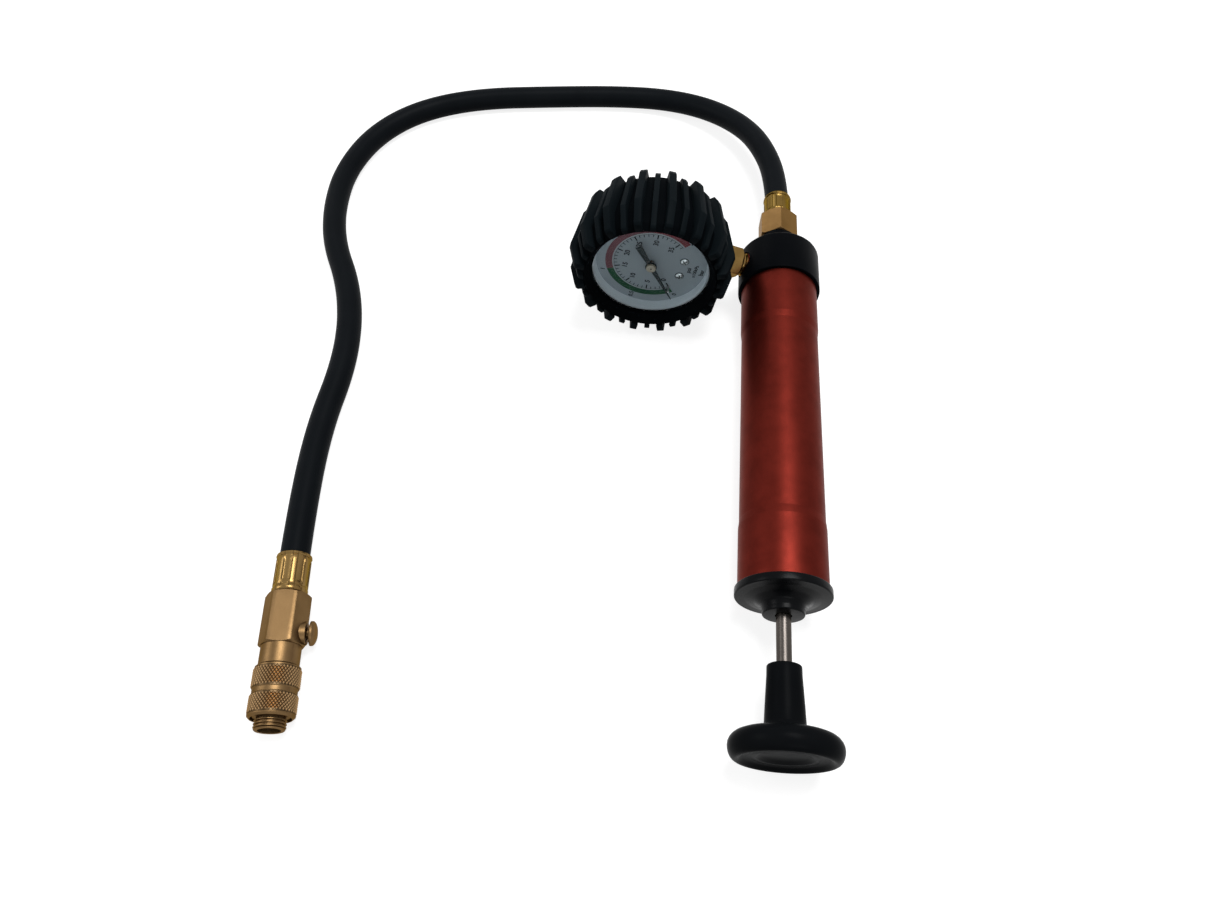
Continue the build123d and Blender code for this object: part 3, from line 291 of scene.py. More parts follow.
clearWindow = clearLens()
slotMaterials = {
    "red_anodised": anodisedRed, "black_plastic": blackCoat, "steel": springSteel,
    "brass": turnedBrass, "yellow_brass": pumpCrimp,
    "coupler_brass": couplerBrass, "black_rubber": bootRubber, "hose_rubber": hoseRubber,
    "red_fibre": fibreRed, "dial_paint": dialFace, "needle_paint": needleEnamel,
    "white_plastic": whiteRing, "clear_lens": clearWindow, "case_steel": blackCoat,
    "leather_cup": cupLeather,
}
for subpart in frame["record"]["subparts"]:
    node = nodes[subpart["node"]]
    node.data.materials.clear()
    node.data.materials.append(slotMaterials[subpart["material_slot"]])
nodes["relief_spring"].data.materials[0] = couplerBrass     # its end shows beside the button
print("materials made")


# Mesh tools

def smoothed(mesh, sharp):
    mesh.shade_smooth()
    mesh.set_sharp_from_angle(angle=math.radians(sharp))


def addPiece(name, bm, place, body, material, replaces=(), sharp=32, flat=False):
    bmesh.ops.recalc_face_normals(bm, faces=bm.faces)
    bmesh.ops.transform(bm, matrix=place, verts=bm.verts)
    mesh = bpy.data.meshes.new(name)
    bm.to_mesh(mesh)
    bm.free()
    if not flat:
        smoothed(mesh, sharp)
    for one in material if isinstance(material, list) else [material]:
        mesh.materials.append(one)
    piece = bpy.data.objects.new(name, mesh)
    scene.collection.objects.link(piece)
    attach(piece, body)
    if replaces:
        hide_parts(*replaces)
    return piece


def turned(points, rounds=None, steps=96, segments=4):
    # points are (along, radius); rounds gives a corner, by its number, the radius of its rounding
    bm = bmesh.new()
    line = [bm.verts.new((radius, 0, along)) for along, radius in points]
    for pair in zip(line, line[1:]):
        bm.edges.new(pair)
    if points[0][1] or points[-1][1]:
        bm.edges.new((line[-1], line[0]))
    for index, radius in (rounds or {}).items():
        corner = line[index]
        before, after = [edge.other_vert(corner).co - corner.co for edge in corner.link_edges]
        half = before.angle(after) / 2
        bmesh.ops.bevel(bm, geom=[corner], offset=radius / math.tan(half), segments=segments,
                        profile=0.5, affect="VERTICES", material=-1, offset_type="OFFSET",
                        clamp_overlap=True)
    bmesh.ops.spin(bm, geom=bm.verts[:] + bm.edges[:], cent=(0, 0, 0), axis=(0, 0, 1),
                   dvec=(0, 0, 0), angle=math.tau, steps=steps, use_merge=True)
    bmesh.ops.remove_doubles(bm, verts=bm.verts, dist=1e-7)
    bmesh.ops.dissolve_degenerate(bm, edges=bm.edges, dist=1e-8)
    return bm


def ringBar(low, high, inner, outer, rounds=None, steps=96):
    return turned([(low, inner), (low, outer), (high, outer), (high, inner)], rounds, steps)


def hexBar(start, end, acrossFlats, bore, roll=0.0, steps=12, chamfer=0.58, kept=0.985):
    # a round bar whose rings are drawn in to the flats, with conical chamfers at both ends;
    # roll is the angle of a corner, and kept is the share of its point that is left
    flat = acrossFlats / 2
    corner = flat / math.cos(math.pi / 6)
    depth = (corner - flat) * chamfer
    rings = [start + depth * k / 4 for k in range(5)] + [end - depth * k / 4 for k in range(4, -1, -1)]
    bm = turned([(start, bore)] + [(z, corner) for z in rings] + [(end, bore)], steps=6 * steps)
    for vert in bm.verts:
        radius = math.hypot(vert.co.x, vert.co.y)
        if radius < flat:                     # the bore stays round
            continue
        angle = math.atan2(vert.co.y, vert.co.x) - roll - math.pi / 6
        side = (angle + math.pi / 6) % (math.pi / 3) - math.pi / 6
        cone = flat + min(vert.co.z - start, end - vert.co.z) / chamfer * kept
        wanted = min(flat / math.cos(side), cone)
        vert.co.x *= wanted / radius
        vert.co.y *= wanted / radius
    return bm


def block(place, size):
    bm = bmesh.new()
    bmesh.ops.create_cube(bm, size=1, matrix=place @ Matrix.Diagonal((*size, 1)))
    return bm


def drill(radius, start, depth, segments):
    bm = bmesh.new()
    bmesh.ops.create_cone(bm, cap_ends=True, segments=segments, radius1=radius, radius2=radius, depth=depth)
    bmesh.ops.translate(bm, vec=(0, 0, start + depth / 2), verts=bm.verts)
    return bm


def slab(corners, through, broken, segments, angle):
    # a flat outline pushed through its thickness, its edges broken, then turned about Z
    bm = bmesh.new()
    face = bm.faces.new([bm.verts.new(corner) for corner in corners])
    made = bmesh.ops.extrude_face_region(bm, geom=[face])
    bmesh.ops.translate(bm, vec=through,
                        verts=[g for g in made["geom"] if isinstance(g, bmesh.types.BMVert)])
    bmesh.ops.recalc_face_normals(bm, faces=bm.faces)
    bmesh.ops.bevel(bm, geom=bm.edges[:], offset=broken, segments=segments, profile=0.5, affect="EDGES",
                    material=-1, clamp_overlap=True)
    bmesh.ops.rotate(bm, cent=(0, 0, 0), matrix=Matrix.Rotation(angle, 3, "Z"), verts=bm.verts)
    return bm


def joined(*parts):
    whole = bmesh.new()
    for part in parts:
        mesh = bpy.data.meshes.new("part")
        part.to_mesh(mesh)
        part.free()
        whole.from_mesh(mesh)
        bpy.data.meshes.remove(mesh)
    return whole


def cutBy(piece, tools, place, sharp):
    # one tool at a time, because a cutter that crosses itself leaves nothing
    for tool in tools:
        cutter = addPiece("cutter", tool, place, "pump", blackCoat)
        cut = piece.modifiers.new("cut", "BOOLEAN")
        cut.operation = "DIFFERENCE"
        cut.solver = "EXACT"
        cut.object = cutter
        depsgraph = bpy.context.evaluated_depsgraph_get()
        mesh = bpy.data.meshes.new_from_object(piece.evaluated_get(depsgraph))
        piece.modifiers.clear()
        piece.data = mesh
        bpy.data.objects.remove(cutter)
    smoothed(piece.data, sharp)


# Pump

barrel = {"radius": 0.0190, "wall": 0.0015, "foot": -0.1645, "top": 0.0042, "waist": 0.0186,
          "upperCone": (-0.0305, -0.0267), "lowerCone": (-0.1370, -0.1332), "coneRound": 0.0012}
inside = barrel["radius"] - barrel["wall"]
bm = turned([
    (barrel["foot"], inside), (barrel["foot"], barrel["radius"]),
    (barrel["lowerCone"][0], barrel["radius"]), (barrel["lowerCone"][1], barrel["waist"]),
    (barrel["upperCone"][0], barrel["waist"]), (barrel["upperCone"][1], barrel["radius"]),
    (barrel["top"], barrel["radius"]), (barrel["top"], inside),
], dict.fromkeys(range(2, 6), barrel["coneRound"]), steps=160, segments=2)
addPiece("barrelTube", bm, pumpPlace, "pump", anodisedRed, ["barrel_tube"], sharp=20)

topCap = {"radius": 0.0207, "length": 0.0245, "rimRound": 0.0005, "farRound": 0.0021,
          "boss": 0.0096, "bossEnd": 0.0375, "bossFillet": 0.0015, "bossRound": 0.0006,
          "socket": 0.01905, "socketEnd": 0.0050, "plateRoom": 0.01405, "plateRoomEnd": 0.0076,
          "chamber": 0.0090, "chamberEnd": 0.0190, "bore": 0.0066,
          "spotFace": 0.0178, "spotRadius": 0.0067, "spotDepth": 0.010,
          "port": 0.00485, "portStart": 0.0040, "portDepth": 0.016}
bm = turned([
    (0, topCap["socket"]), (0, topCap["radius"]), (topCap["length"], topCap["radius"]),
    (topCap["length"], topCap["boss"]), (topCap["bossEnd"], topCap["boss"]),
    (topCap["bossEnd"], topCap["bore"]), (topCap["chamberEnd"], topCap["bore"]),
    (topCap["chamberEnd"], topCap["chamber"]), (topCap["plateRoomEnd"], topCap["chamber"]),
    (topCap["plateRoomEnd"], topCap["plateRoom"]), (topCap["socketEnd"], topCap["plateRoom"]),
    (topCap["socketEnd"], topCap["socket"]),
], {1: topCap["rimRound"], 2: topCap["farRound"], 3: topCap["bossFillet"], 4: topCap["bossRound"]},
    steps=160, segments=6)
capPiece = addPiece("topCap", bm, pumpPlace, "pump", blackCoat, ["top_cap"], sharp=40)
cutBy(capPiece, [drill(topCap["spotRadius"], topCap["spotFace"], topCap["spotDepth"], 64),
                 drill(topCap["port"], topCap["portStart"], topCap["portDepth"], 48)], stemPlace, 40)

bottomCap = {"flange": 0.0203, "flangeFoot": -0.1680, "barrelFoot": -0.1645, "nose": 0.0088,
             "noseEnd": -0.1755, "rodHole": 0.0035, "spigot": 0.01746, "spigotEnd": -0.1525,
             "bush": 0.00704, "bushFoot": -0.1731, "edgeRound": 0.0006, "footRound": 0.0004,
             # the hollow face from the nose to the flange: place, radius and rounding of each corner
             "face": ((-0.1733, 0.0088, 0.0006), (-0.1712, 0.0094, 0.0020), (-0.1692, 0.0122, 0.0040),
                      (-0.1683, 0.0158, 0.0060), (-0.1680, 0.0190, 0.0012))}
face = [corner[:2] for corner in bottomCap["face"]]
rounds = {2 + k: corner[2] for k, corner in enumerate(bottomCap["face"])}
bm = turned([
    (bottomCap["noseEnd"], bottomCap["rodHole"]), (bottomCap["noseEnd"], bottomCap["nose"]), *face,
    (bottomCap["flangeFoot"], bottomCap["flange"]), (bottomCap["barrelFoot"], bottomCap["flange"]),
    (bottomCap["barrelFoot"], bottomCap["spigot"]), (bottomCap["spigotEnd"], bottomCap["spigot"]),
    (bottomCap["spigotEnd"], bottomCap["bush"]), (bottomCap["bushFoot"], bottomCap["bush"]),
    (bottomCap["bushFoot"], bottomCap["rodHole"]),
], {1: bottomCap["edgeRound"], **rounds, 7: bottomCap["edgeRound"], 8: bottomCap["footRound"]}, steps=160)
addPiece("bottomCap", bm, pumpPlace, "pump", blackGloss, ["bottom_cap"], sharp=40)

rod = {"radius": 0.0031, "foot": -0.2134, "step": -0.0290, "top": -0.0179, "neck": 0.0024,
       "chamfer": 0.0004}
bm = turned([
    (rod["foot"], 0), (rod["foot"], rod["radius"]), (rod["step"], rod["radius"]),
    (rod["step"], rod["neck"]), (rod["top"] - rod["chamfer"], rod["neck"]),
    (rod["top"], rod["neck"] - rod["chamfer"]), (rod["top"], 0),
], steps=48)
addPiece("pumpRod", bm, pumpPlace, "rod", bareSteel, ["pump_rod"])

handle = {"neckTop": -0.1964, "neckRadius": 0.0070, "neckRound": 0.0007, "socket": 0.00315,
          "socketEnd": -0.2134, "discBack": -0.2230, "discFront": -0.2334, "radius": 0.0220,
          "frontRim": 0.0034,
          # place and radius down the neck, into the disc's back
          "flare": ((-0.2004, 0.00705), (-0.2130, 0.0078), (-0.2190, 0.0081), (-0.2205, 0.0085),
                    (-0.2214, 0.0095), (-0.2221, 0.0116), (-0.2227, 0.0142)),
          # depth and radius of the dished front, from its rim to its middle
          "dish": ((0.0004, 0.0176), (0.0013, 0.0164), (0.0018, 0.0146), (0.0017, 0.0128),
                   (0.0014, 0.0116), (0.0016, 0.0107), (0.0024, 0.0090), (0.0029, 0.0050), (0.0030, 0))}
halfDisc = (handle["discBack"] - handle["discFront"]) / 2
midDisc = (handle["discBack"] + handle["discFront"]) / 2
rimArc = []
for angle in [math.radians(a) for a in range(0, 181, 15)]:
    reach = halfDisc if angle < math.pi / 2 else handle["frontRim"]
    rimArc.append((midDisc + halfDisc * math.cos(angle),
                   handle["radius"] - reach + reach * math.sin(angle)))
dish = [(handle["discFront"] + depth, radius) for depth, radius in handle["dish"]]
bm = turned([(handle["neckTop"], handle["socket"]), (handle["neckTop"], handle["neckRadius"]),
             *handle["flare"], *rimArc, *dish, (handle["socketEnd"], 0),
             (handle["socketEnd"], handle["socket"])], {1: handle["neckRound"]}, steps=144)
addPiece("handle", bm, pumpPlace, "rod", blackHandle, ["handle"], sharp=45)
print("pump made")


# Hose fittings

def fluted(bm, start, end, radius, depth, skin=0.0009, run=0.0012):
    # presses broad flutes with steep sides into the outside, skin deep, between two lengths;
    # a flute fades over a run at each end
    for vert in bm.verts:
        out = math.hypot(vert.co.x, vert.co.y)
        if out < radius - skin or not start < vert.co.z < end:
            continue
        fade = min(1, (vert.co.z - start) / run, (end - vert.co.z) / run)
        wave = math.cos(math.atan2(vert.co.y, vert.co.x) * flutes["count"])
        press = min(1, max(0, (wave - flutes["top"]) / (flutes["foot"] - flutes["top"])))
        scale = 1 - depth * press * fade / out
        vert.co.x *= scale
        vert.co.y *= scale


grip = {"radius": 0.00745, "inside": 0.00644, "barbHole": 0.0045, "floor": 0.0008, "pump": 0.0159,
        "coupler": 0.0183, "skin": (0.0036, 0.0026), "skinDrop": 0.0001, "flutes": (0.0033, 0.0020),
        "fluteDepth": 0.00060,
        # the bead at the foot and the lip at the mouth: distance from that end, rise over the radius
        "bead": ((0, -0.0007), (0.0008, 0), (0.0022, 0.0001), (0.0030, -0.0004)),
        "lip": ((0.0022, -0.0002), (0.0014, -0.0004), (0.0010, 0.0001), (0.0003, 0), (0, -0.0004))}


def ferrule(length):
    # z = 0 is the foot with its bead, the mouth is at length
    low, high = grip["skin"][0], length - grip["skin"][1]
    skin = [(low + (high - low) * k / 12, grip["radius"] - grip["skinDrop"]) for k in range(13)]
    bm = turned([(0, grip["barbHole"])]
                + [(place, grip["radius"] + rise) for place, rise in grip["bead"]] + skin
                + [(length - place, grip["radius"] + rise) for place, rise in grip["lip"]]
                + [(length, grip["inside"]), (grip["floor"], grip["inside"]),
                   (grip["floor"], grip["barbHole"])], steps=192)
    fluted(bm, grip["flutes"][0], length - grip["flutes"][1], grip["radius"], grip["fluteDepth"])
    return bm


def placedAlong(place, distance, flip=False):
    made = place @ Matrix.Translation((0, 0, distance))
    return made @ Matrix.Rotation(math.pi, 4, "X") if flip else made


adapter = {"hexFoot": 0.0375, "hexTop": 0.0539, "acrossFlats": 0.0190, "hexBore": 0.0060, "roll": 90,
           "threadFoot": 0.0285, "thread": 0.0065, "core": 0.0055, "bore": 0.0020,
           "barb": 0.0031, "barbTip": (0.0710, 0.0028), "barbEnd": (0.0718, 0.0022)}
barb = turned([
    (adapter["threadFoot"], adapter["bore"]), (adapter["threadFoot"], adapter["thread"]),
    (adapter["hexFoot"], adapter["thread"]), (adapter["hexTop"], adapter["core"]),
    (adapter["hexTop"], adapter["barb"]), adapter["barbTip"], adapter["barbEnd"],
    (adapter["barbEnd"][0], adapter["bore"]),
], steps=64)
nut = hexBar(adapter["hexFoot"], adapter["hexTop"], adapter["acrossFlats"], adapter["hexBore"],
             math.radians(adapter["roll"]))
addPiece("hoseAdapter", joined(barb, nut), pumpPlace, "pump", turnedBrass, ["hose_adapter"],
         sharp=25)
addPiece("pumpFerrule", ferrule(grip["pump"]), placedAlong(pumpPlace, adapter["hexTop"]), "pump",
         pumpCrimp, ["pump_ferrule"], sharp=40)
addPiece("couplerFerrule", ferrule(grip["coupler"]),
         placedAlong(couplerPlace, grip["coupler"], flip=True), "pump", couplerCrimp,
         ["coupler_ferrule"], sharp=40)
print("ferrules made")


# Coupler

couplerBody = {"hexStart": 0.0185, "hexEnd": 0.0410, "acrossFlats": 0.0170, "hexBore": 0.0065, "roll": 52,
               "barrel": 0.00815, "end": 0.0495, "endRound": 0.0004, "tube": 0.0069, "tubeEnd": 0.0665,
               "socket": 0.00455, "socketFloor": 0.0505, "bore": 0.0020, "core": 0.0072,
               "shoulder": (0.0183, 0.0064), "barb": 0.0031, "barbStart": 0.0045,
               "barbTip": (0.0010, 0.0024)}
shaft = turned([
    (couplerBody["barbTip"][0], couplerBody["bore"]), couplerBody["barbTip"],
    (couplerBody["barbStart"], couplerBody["barb"]), (couplerBody["shoulder"][0], couplerBody["barb"]),
    couplerBody["shoulder"], (couplerBody["hexStart"], couplerBody["core"]),
    (couplerBody["hexEnd"], couplerBody["core"]), (couplerBody["hexEnd"], couplerBody["barrel"]),
    (couplerBody["end"], couplerBody["barrel"]), (couplerBody["end"], couplerBody["tube"]),
    (couplerBody["tubeEnd"], couplerBody["tube"]), (couplerBody["tubeEnd"], couplerBody["socket"]),
    (couplerBody["socketFloor"], couplerBody["socket"]), (couplerBody["socketFloor"], couplerBody["bore"]),
], {8: couplerBody["endRound"]}, steps=96)
nut = hexBar(couplerBody["hexStart"], couplerBody["hexEnd"], couplerBody["acrossFlats"],
             couplerBody["hexBore"], math.radians(couplerBody["roll"]))
boss = {"foot": 0.0050, "end": 0.0096, "radius": 0.0050, "round": 0.0004, "hole": 0.0028, "floor": 0.0070}
tower = turned([
    (boss["foot"], 0), (boss["foot"], boss["radius"]), (boss["end"], boss["radius"]),
    (boss["end"], boss["hole"]), (boss["floor"], boss["hole"]), (boss["floor"], 0),
], {2: boss["round"]}, steps=64)
bmesh.ops.transform(tower, matrix=couplerPlace.inverted() @ buttonPlace, verts=tower.verts)
addPiece("couplerBody", joined(shaft, nut, tower), couplerPlace, "pump", couplerBrass,
         ["coupler_body"], sharp=25)

button = {"seat": 0.0109, "radius": 0.0052, "rim": 0.0008, "dome": 0.0021, "edgeRound": 0.0002,
          "shank": 0.0016, "shankFoot": 0.0026}
crown = button["seat"] + button["rim"]
dome = [(crown + button["dome"] * math.sin(a), button["radius"] * math.cos(a))
        for a in [math.radians(10 * k) for k in range(9)]]
bm = turned([
    (button["shankFoot"], 0), (button["shankFoot"], button["shank"]), (button["seat"], button["shank"]),
    (button["seat"], button["radius"]), *dome, (crown + button["dome"], 0),
], {3: button["edgeRound"]}, steps=64)
addPiece("reliefButton", bm, buttonPlace, "button", couplerBrass, ["relief_button"])

sleeve = {"back": 0.0500, "front": 0.0705, "radius": 0.0096, "backBand": (0.0505, 0.0589),
          "frontBand": (0.0613, 0.0690), "knurls": 42, "rows": 9, "depth": 0.00050,
          "groove": (0.0593, 0.0609), "grooveDepth": 0.0007, "pocket": 0.00825, "frontPocket": 0.00805,
          "land": 0.00695, "landEnds": (0.0585, 0.0645),
          # place and drop from the radius, from the front band to the open end
          "nose": ((0.0692, 0.0002), (0.0697, 0.0003), (0.0705, 0.0011))}


def bandLine(low, high):
    return [(low + (high - low) * k / sleeve["rows"], sleeve["radius"] - sleeve["depth"])
            for k in range(sleeve["rows"] + 1)]


outline = [(sleeve["back"], sleeve["pocket"]), (sleeve["back"], sleeve["radius"] - sleeve["depth"])]
outline += bandLine(*sleeve["backBand"])
outline += [(place, sleeve["radius"] - sleeve["grooveDepth"]) for place in sleeve["groove"]]
outline += bandLine(*sleeve["frontBand"])
outline += [(place, sleeve["radius"] - drop) for place, drop in sleeve["nose"]]
outline += [(sleeve["front"], sleeve["frontPocket"]), (sleeve["landEnds"][1], sleeve["frontPocket"]),
            (sleeve["landEnds"][1], sleeve["land"]), (sleeve["landEnds"][0], sleeve["land"]),
            (sleeve["landEnds"][0], sleeve["pocket"])]
bm = turned(outline, steps=2 * sleeve["knurls"])


def knurled(bm, low, high, rows, columns, raised, skin=0.0088, margin=1e-6):
    # raises every other crossing and splits each square along its groove, which leaves pyramids;
    # only what lies outside the skin radius is touched
    def crossing(vert):
        row = (vert.co.z - low) / (high - low) * rows
        column = math.atan2(vert.co.y, vert.co.x) / math.tau * columns
        return round(row), round(column)

    inside = [face for face in bm.faces
              if all(low - margin < v.co.z < high + margin for v in face.verts)
              and all(math.hypot(v.co.x, v.co.y) > skin for v in face.verts)]
    tops = set()
    for face in inside:
        face.material_index = 1
        odd = [v for v in face.verts if sum(crossing(v)) % 2]
        tops.update(v for v in face.verts if sum(crossing(v)) % 2 == 0)
        bmesh.utils.face_split(face, odd[0], odd[1])
    for vert in tops:
        if low + margin < vert.co.z < high - margin:
            scale = 1 + raised / math.hypot(vert.co.x, vert.co.y)
            vert.co.x *= scale
            vert.co.y *= scale


for band in (sleeve["backBand"], sleeve["frontBand"]):
    knurled(bm, *band, sleeve["rows"], 2 * sleeve["knurls"], sleeve["depth"])
addPiece("couplerSleeve", bm, couplerPlace, "sleeve", [couplerBrass, gripBrass], ["coupler_sleeve"],
         sharp=18)

nipple = {"foot": (0.0511, 0.0040), "plug": 0.0045, "plugStart": 0.0516, "passage": 0.0020,
          "ballGroove": (0.0606, 0.0611, 0.0629, 0.0634), "grooveRadius": 0.00408,
          "collar": 0.0074, "collarStart": 0.0666, "collarEnd": 0.0698, "collarRound": 0.0003,
          "thread": 0.00635, "root": 0.0056, "rootStart": 0.0700, "threadStart": 0.07085,
          "pitch": 0.00125, "crest": (0.00042, 0.00066), "flankEnd": 0.00108, "turns": 3,
          "tip": (0.0746, 0.0061), "end": (0.0750, 0.0058), "bore": 0.0045, "boreFloor": 0.0675}
grooveLow, grooveIn, grooveOut, grooveHigh = nipple["ballGroove"]
threads = []
for k in range(nipple["turns"]):
    foot = nipple["threadStart"] + k * nipple["pitch"]
    threads += [(foot, nipple["root"]), (foot + nipple["crest"][0], nipple["thread"]),
                (foot + nipple["crest"][1], nipple["thread"]), (foot + nipple["flankEnd"], nipple["root"])]
bm = turned([
    (nipple["foot"][0], nipple["passage"]), nipple["foot"], (nipple["plugStart"], nipple["plug"]),
    (grooveLow, nipple["plug"]), (grooveIn, nipple["grooveRadius"]),
    (grooveOut, nipple["grooveRadius"]), (grooveHigh, nipple["plug"]),
    (nipple["collarStart"], nipple["plug"]), (nipple["collarStart"], nipple["collar"]),
    (nipple["collarEnd"], nipple["collar"]), (nipple["rootStart"], nipple["root"]), *threads,
    nipple["tip"], nipple["end"], (nipple["end"][0], nipple["bore"]),
    (nipple["boreFloor"], nipple["bore"]), (nipple["boreFloor"], nipple["passage"]),
], {9: nipple["collarRound"]}, steps=96)
addPiece("couplerNipple", bm, couplerPlace, "pump", couplerBrass, ["coupler_nipple"],
         sharp=30)
print("coupler made")


# Hose: the same points as the solid's route, as one smooth line

hose = {"diameter": 0.0128, "length": 0.645, "start": 0.0551, "straight": 0.0868, "lie": 0.0065,
        # the points by which it comes down from the pump, lies on the floor and meets the coupler
        "down": ((0.0345, 0.2010, 0.0184), (0.0220, 0.2240, 0.0144), (0.0015, 0.2425, 0.0104),
                 (-0.0250, 0.2530, 0.0074)),
        "onFloor": ((-0.0570, 0.2540), (-0.0950, 0.2500), (-0.1440, 0.2435), (-0.1795, 0.2280),
                    (-0.2020, 0.2025), (-0.2120, 0.1690), (-0.2105, 0.1370), (-0.2030, 0.1090),
                    (-0.1885, 0.0820), (-0.1795, 0.0535), (-0.1760, 0.0235), (-0.1780, -0.0120)),
        "meet": ((-0.1729, -0.0563, 0.0096), (-0.16686, -0.09614, 0.0096))}
hoseRoute = [tuple(pumpOrigin + pumpAxis * hose["start"]), tuple(pumpOrigin + pumpAxis * hose["straight"]),
             *hose["down"], *((x, y, hose["lie"]) for x, y in hose["onFloor"]), *hose["meet"]]
line = bpy.data.curves.new("hose", "CURVE")
line.dimensions = "3D"
spline = line.splines.new("NURBS")
spline.points.add(len(hoseRoute) - 1)
for point, place in zip(spline.points, hoseRoute):
    point.co = (*place, 1)
spline.order_u = 3
spline.use_endpoint_u = True
spline.resolution_u = 12
line.bevel_depth = hose["diameter"] / 2
line.bevel_resolution = 8
line.use_fill_caps = True
line.materials.append(hoseRubber)
hosePiece = bpy.data.objects.new("hose", line)
scene.collection.objects.link(hosePiece)
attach(hosePiece, "pump")
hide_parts("hose")
print("hose made")


# Gauge: stem, case and boot

washer = {"foot": 0.0178, "top": 0.0193, "radius": 0.0063, "hole": 0.00484, "round": 0.0003}
bm = ringBar(washer["foot"], washer["top"], washer["hole"], washer["radius"],
             {1: washer["round"], 2: washer["round"]}, steps=72)
addPiece("portWasher", bm, stemPlace, "pump", fibreRed, ["port_washer"])

stem = {"foot": 0.0095, "bore": 0.0016, "shank": 0.0047, "shankEnd": 0.0192,
        "collarStart": 0.0193, "collarPitch": 0.0015, "collars": 2,
        # place and radius over one collar
        "collarLine": ((0.0001, 0.0050), (0.0005, 0.0059), (0.0010, 0.0059), (0.0014, 0.0050)),
        "hexStart": 0.0226, "hexEnd": 0.0374, "acrossFlats": 0.0140, "hexBore": 0.0055, "core": 0.0062,
        "thread": 0.0048, "end": 0.0414,
        "blockPlace": (0.01865, 0, 0.001), "blockSize": (0.0193, 0.012, 0.010)}
collars = [(stem["collarStart"] + stem["collarPitch"] * k + place, radius)
           for k in range(stem["collars"]) for place, radius in stem["collarLine"]]
shank = turned([
    (stem["foot"], stem["bore"]), (stem["foot"], stem["shank"]), (stem["shankEnd"], stem["shank"]),
    *collars, (stem["hexStart"], stem["core"]), (stem["hexEnd"], stem["core"]),
    (stem["hexEnd"], stem["thread"]), (stem["end"], stem["thread"]), (stem["end"], stem["bore"]),
], steps=64)
nut = hexBar(stem["hexStart"], stem["hexEnd"], stem["acrossFlats"], stem["hexBore"])
socket = block(stemPlace.inverted() @ gaugePlace @ Matrix.Translation(stem["blockPlace"]),
               stem["blockSize"])
addPiece("gaugeSocket", joined(shank, nut, socket), stemPlace, "pump", stemBrass, ["gauge_socket"],
         sharp=25)

case = {"radius": 0.0302, "wall": 0.0010, "back": -0.0076, "front": 0.0242, "backRound": 0.0020,
        "ledge": 0.0268, "ledgeStart": 0.0156, "ledgeEnd": 0.0164}
inside = case["radius"] - case["wall"]
floor = case["back"] + case["wall"]
bm = turned([
    (case["back"], 0), (case["back"], case["radius"]), (case["front"], case["radius"]),
    (case["front"], inside), (case["ledgeEnd"], inside), (case["ledgeEnd"], case["ledge"]),
    (case["ledgeStart"], case["ledge"]), (case["ledgeStart"], inside), (floor, inside), (floor, 0),
], {1: case["backRound"]}, steps=128)
addPiece("gaugeCase", bm, gaugePlace, "pump", blackCoat, ["gauge_case"])

boot = {"radius": 0.0414, "knee": 0.0172, "front": 0.0300, "back": -0.0096, "frontDrop": 0.0034,
        "backDrop": 0.0040, "ribHeight": 0.0052, "shortDrop": 0.0022, "tallWidth": 0.0035,
        "shortWidth": 0.0027, "count": 16, "backSlope": 0.0040, "backSkin": 0.0308,
        "shoulder": (0.0256, 0.0346), "face": 0.0324, "faceFront": 0.0292, "lip": 0.0319,
        "opening": 0.0290, "openingFront": 0.0250, "bore": 0.0305, "backLip": 0.0255, "gap": 0.0001,
        "ribRound": 0.00035, "heel": 0.0022, "toe": (0.0010, 0.0012),
        # roundings of the skin's corners, by their number
        "skinRounds": {0: 0.0006, 1: 0.0006, 3: 0.0030, 4: 0.0002, 5: 0.0002, 6: 0.0004},
        # radius of a rib's root, which is sunk in the skin
        "rootBack": 0.0300, "rootFront": 0.0328, "rootKnee": 0.0348}
downHere = gaugePlace.to_3x3().inverted() @ Vector((0, 0, -1))
phase = math.atan2(downHere.y, downHere.x) + math.pi / boot["count"]   # a short rib points down
caseFront = case["front"] + boot["gap"]
caseBack = case["back"] - boot["gap"]
skin = turned([
    (boot["back"], boot["backLip"]), (boot["back"], boot["backSkin"]),
    (boot["knee"], boot["radius"] - boot["ribHeight"]), boot["shoulder"],
    (boot["faceFront"], boot["face"]), (boot["faceFront"], boot["lip"]),
    (boot["openingFront"], boot["opening"]), (caseFront, boot["opening"]),
    (caseFront, boot["bore"]), (caseBack, boot["bore"]), (caseBack, boot["backLip"]),
], boot["skinRounds"], steps=180)
# the skin between the ribs takes the second material, a darker copy of the rubber: painted shade between the ribs
for face in skin.faces:
    face.material_index = 1


def rib(width, drop, angle):
    # its side runs from the back over heel, slope, knee and toe, and back along the root
    top = boot["radius"] - drop
    heelTop, toeTop = top - boot["backDrop"], top - boot["frontDrop"]
    side = [(boot["back"], boot["rootBack"]), (boot["back"], heelTop - boot["heel"]),
            (boot["back"] + boot["backSlope"], heelTop), (boot["knee"], top),
            (boot["front"] - boot["toe"][0], toeTop), (boot["front"], toeTop - boot["toe"][1]),
            (boot["front"], boot["rootFront"]), (boot["knee"], boot["rootKnee"])]
    return slab([(radius, -width / 2, along) for along, radius in side], (0, width, 0),
                boot["ribRound"], 2, angle)


ribs = []
for index in range(boot["count"]):
    turnTo = phase + math.tau * index / boot["count"]
    ribs.append(rib(boot["tallWidth"], 0, turnTo))
    ribs.append(rib(boot["shortWidth"], boot["shortDrop"], turnTo + math.pi / boot["count"]))
bm = joined(skin, *ribs)
addPiece("gaugeBoot", bm, gaugePlace, "pump", [bootRubber, bootPaintedShade], ["gauge_boot"],
         sharp=38)
print("boot made")


# Dial, needle and window

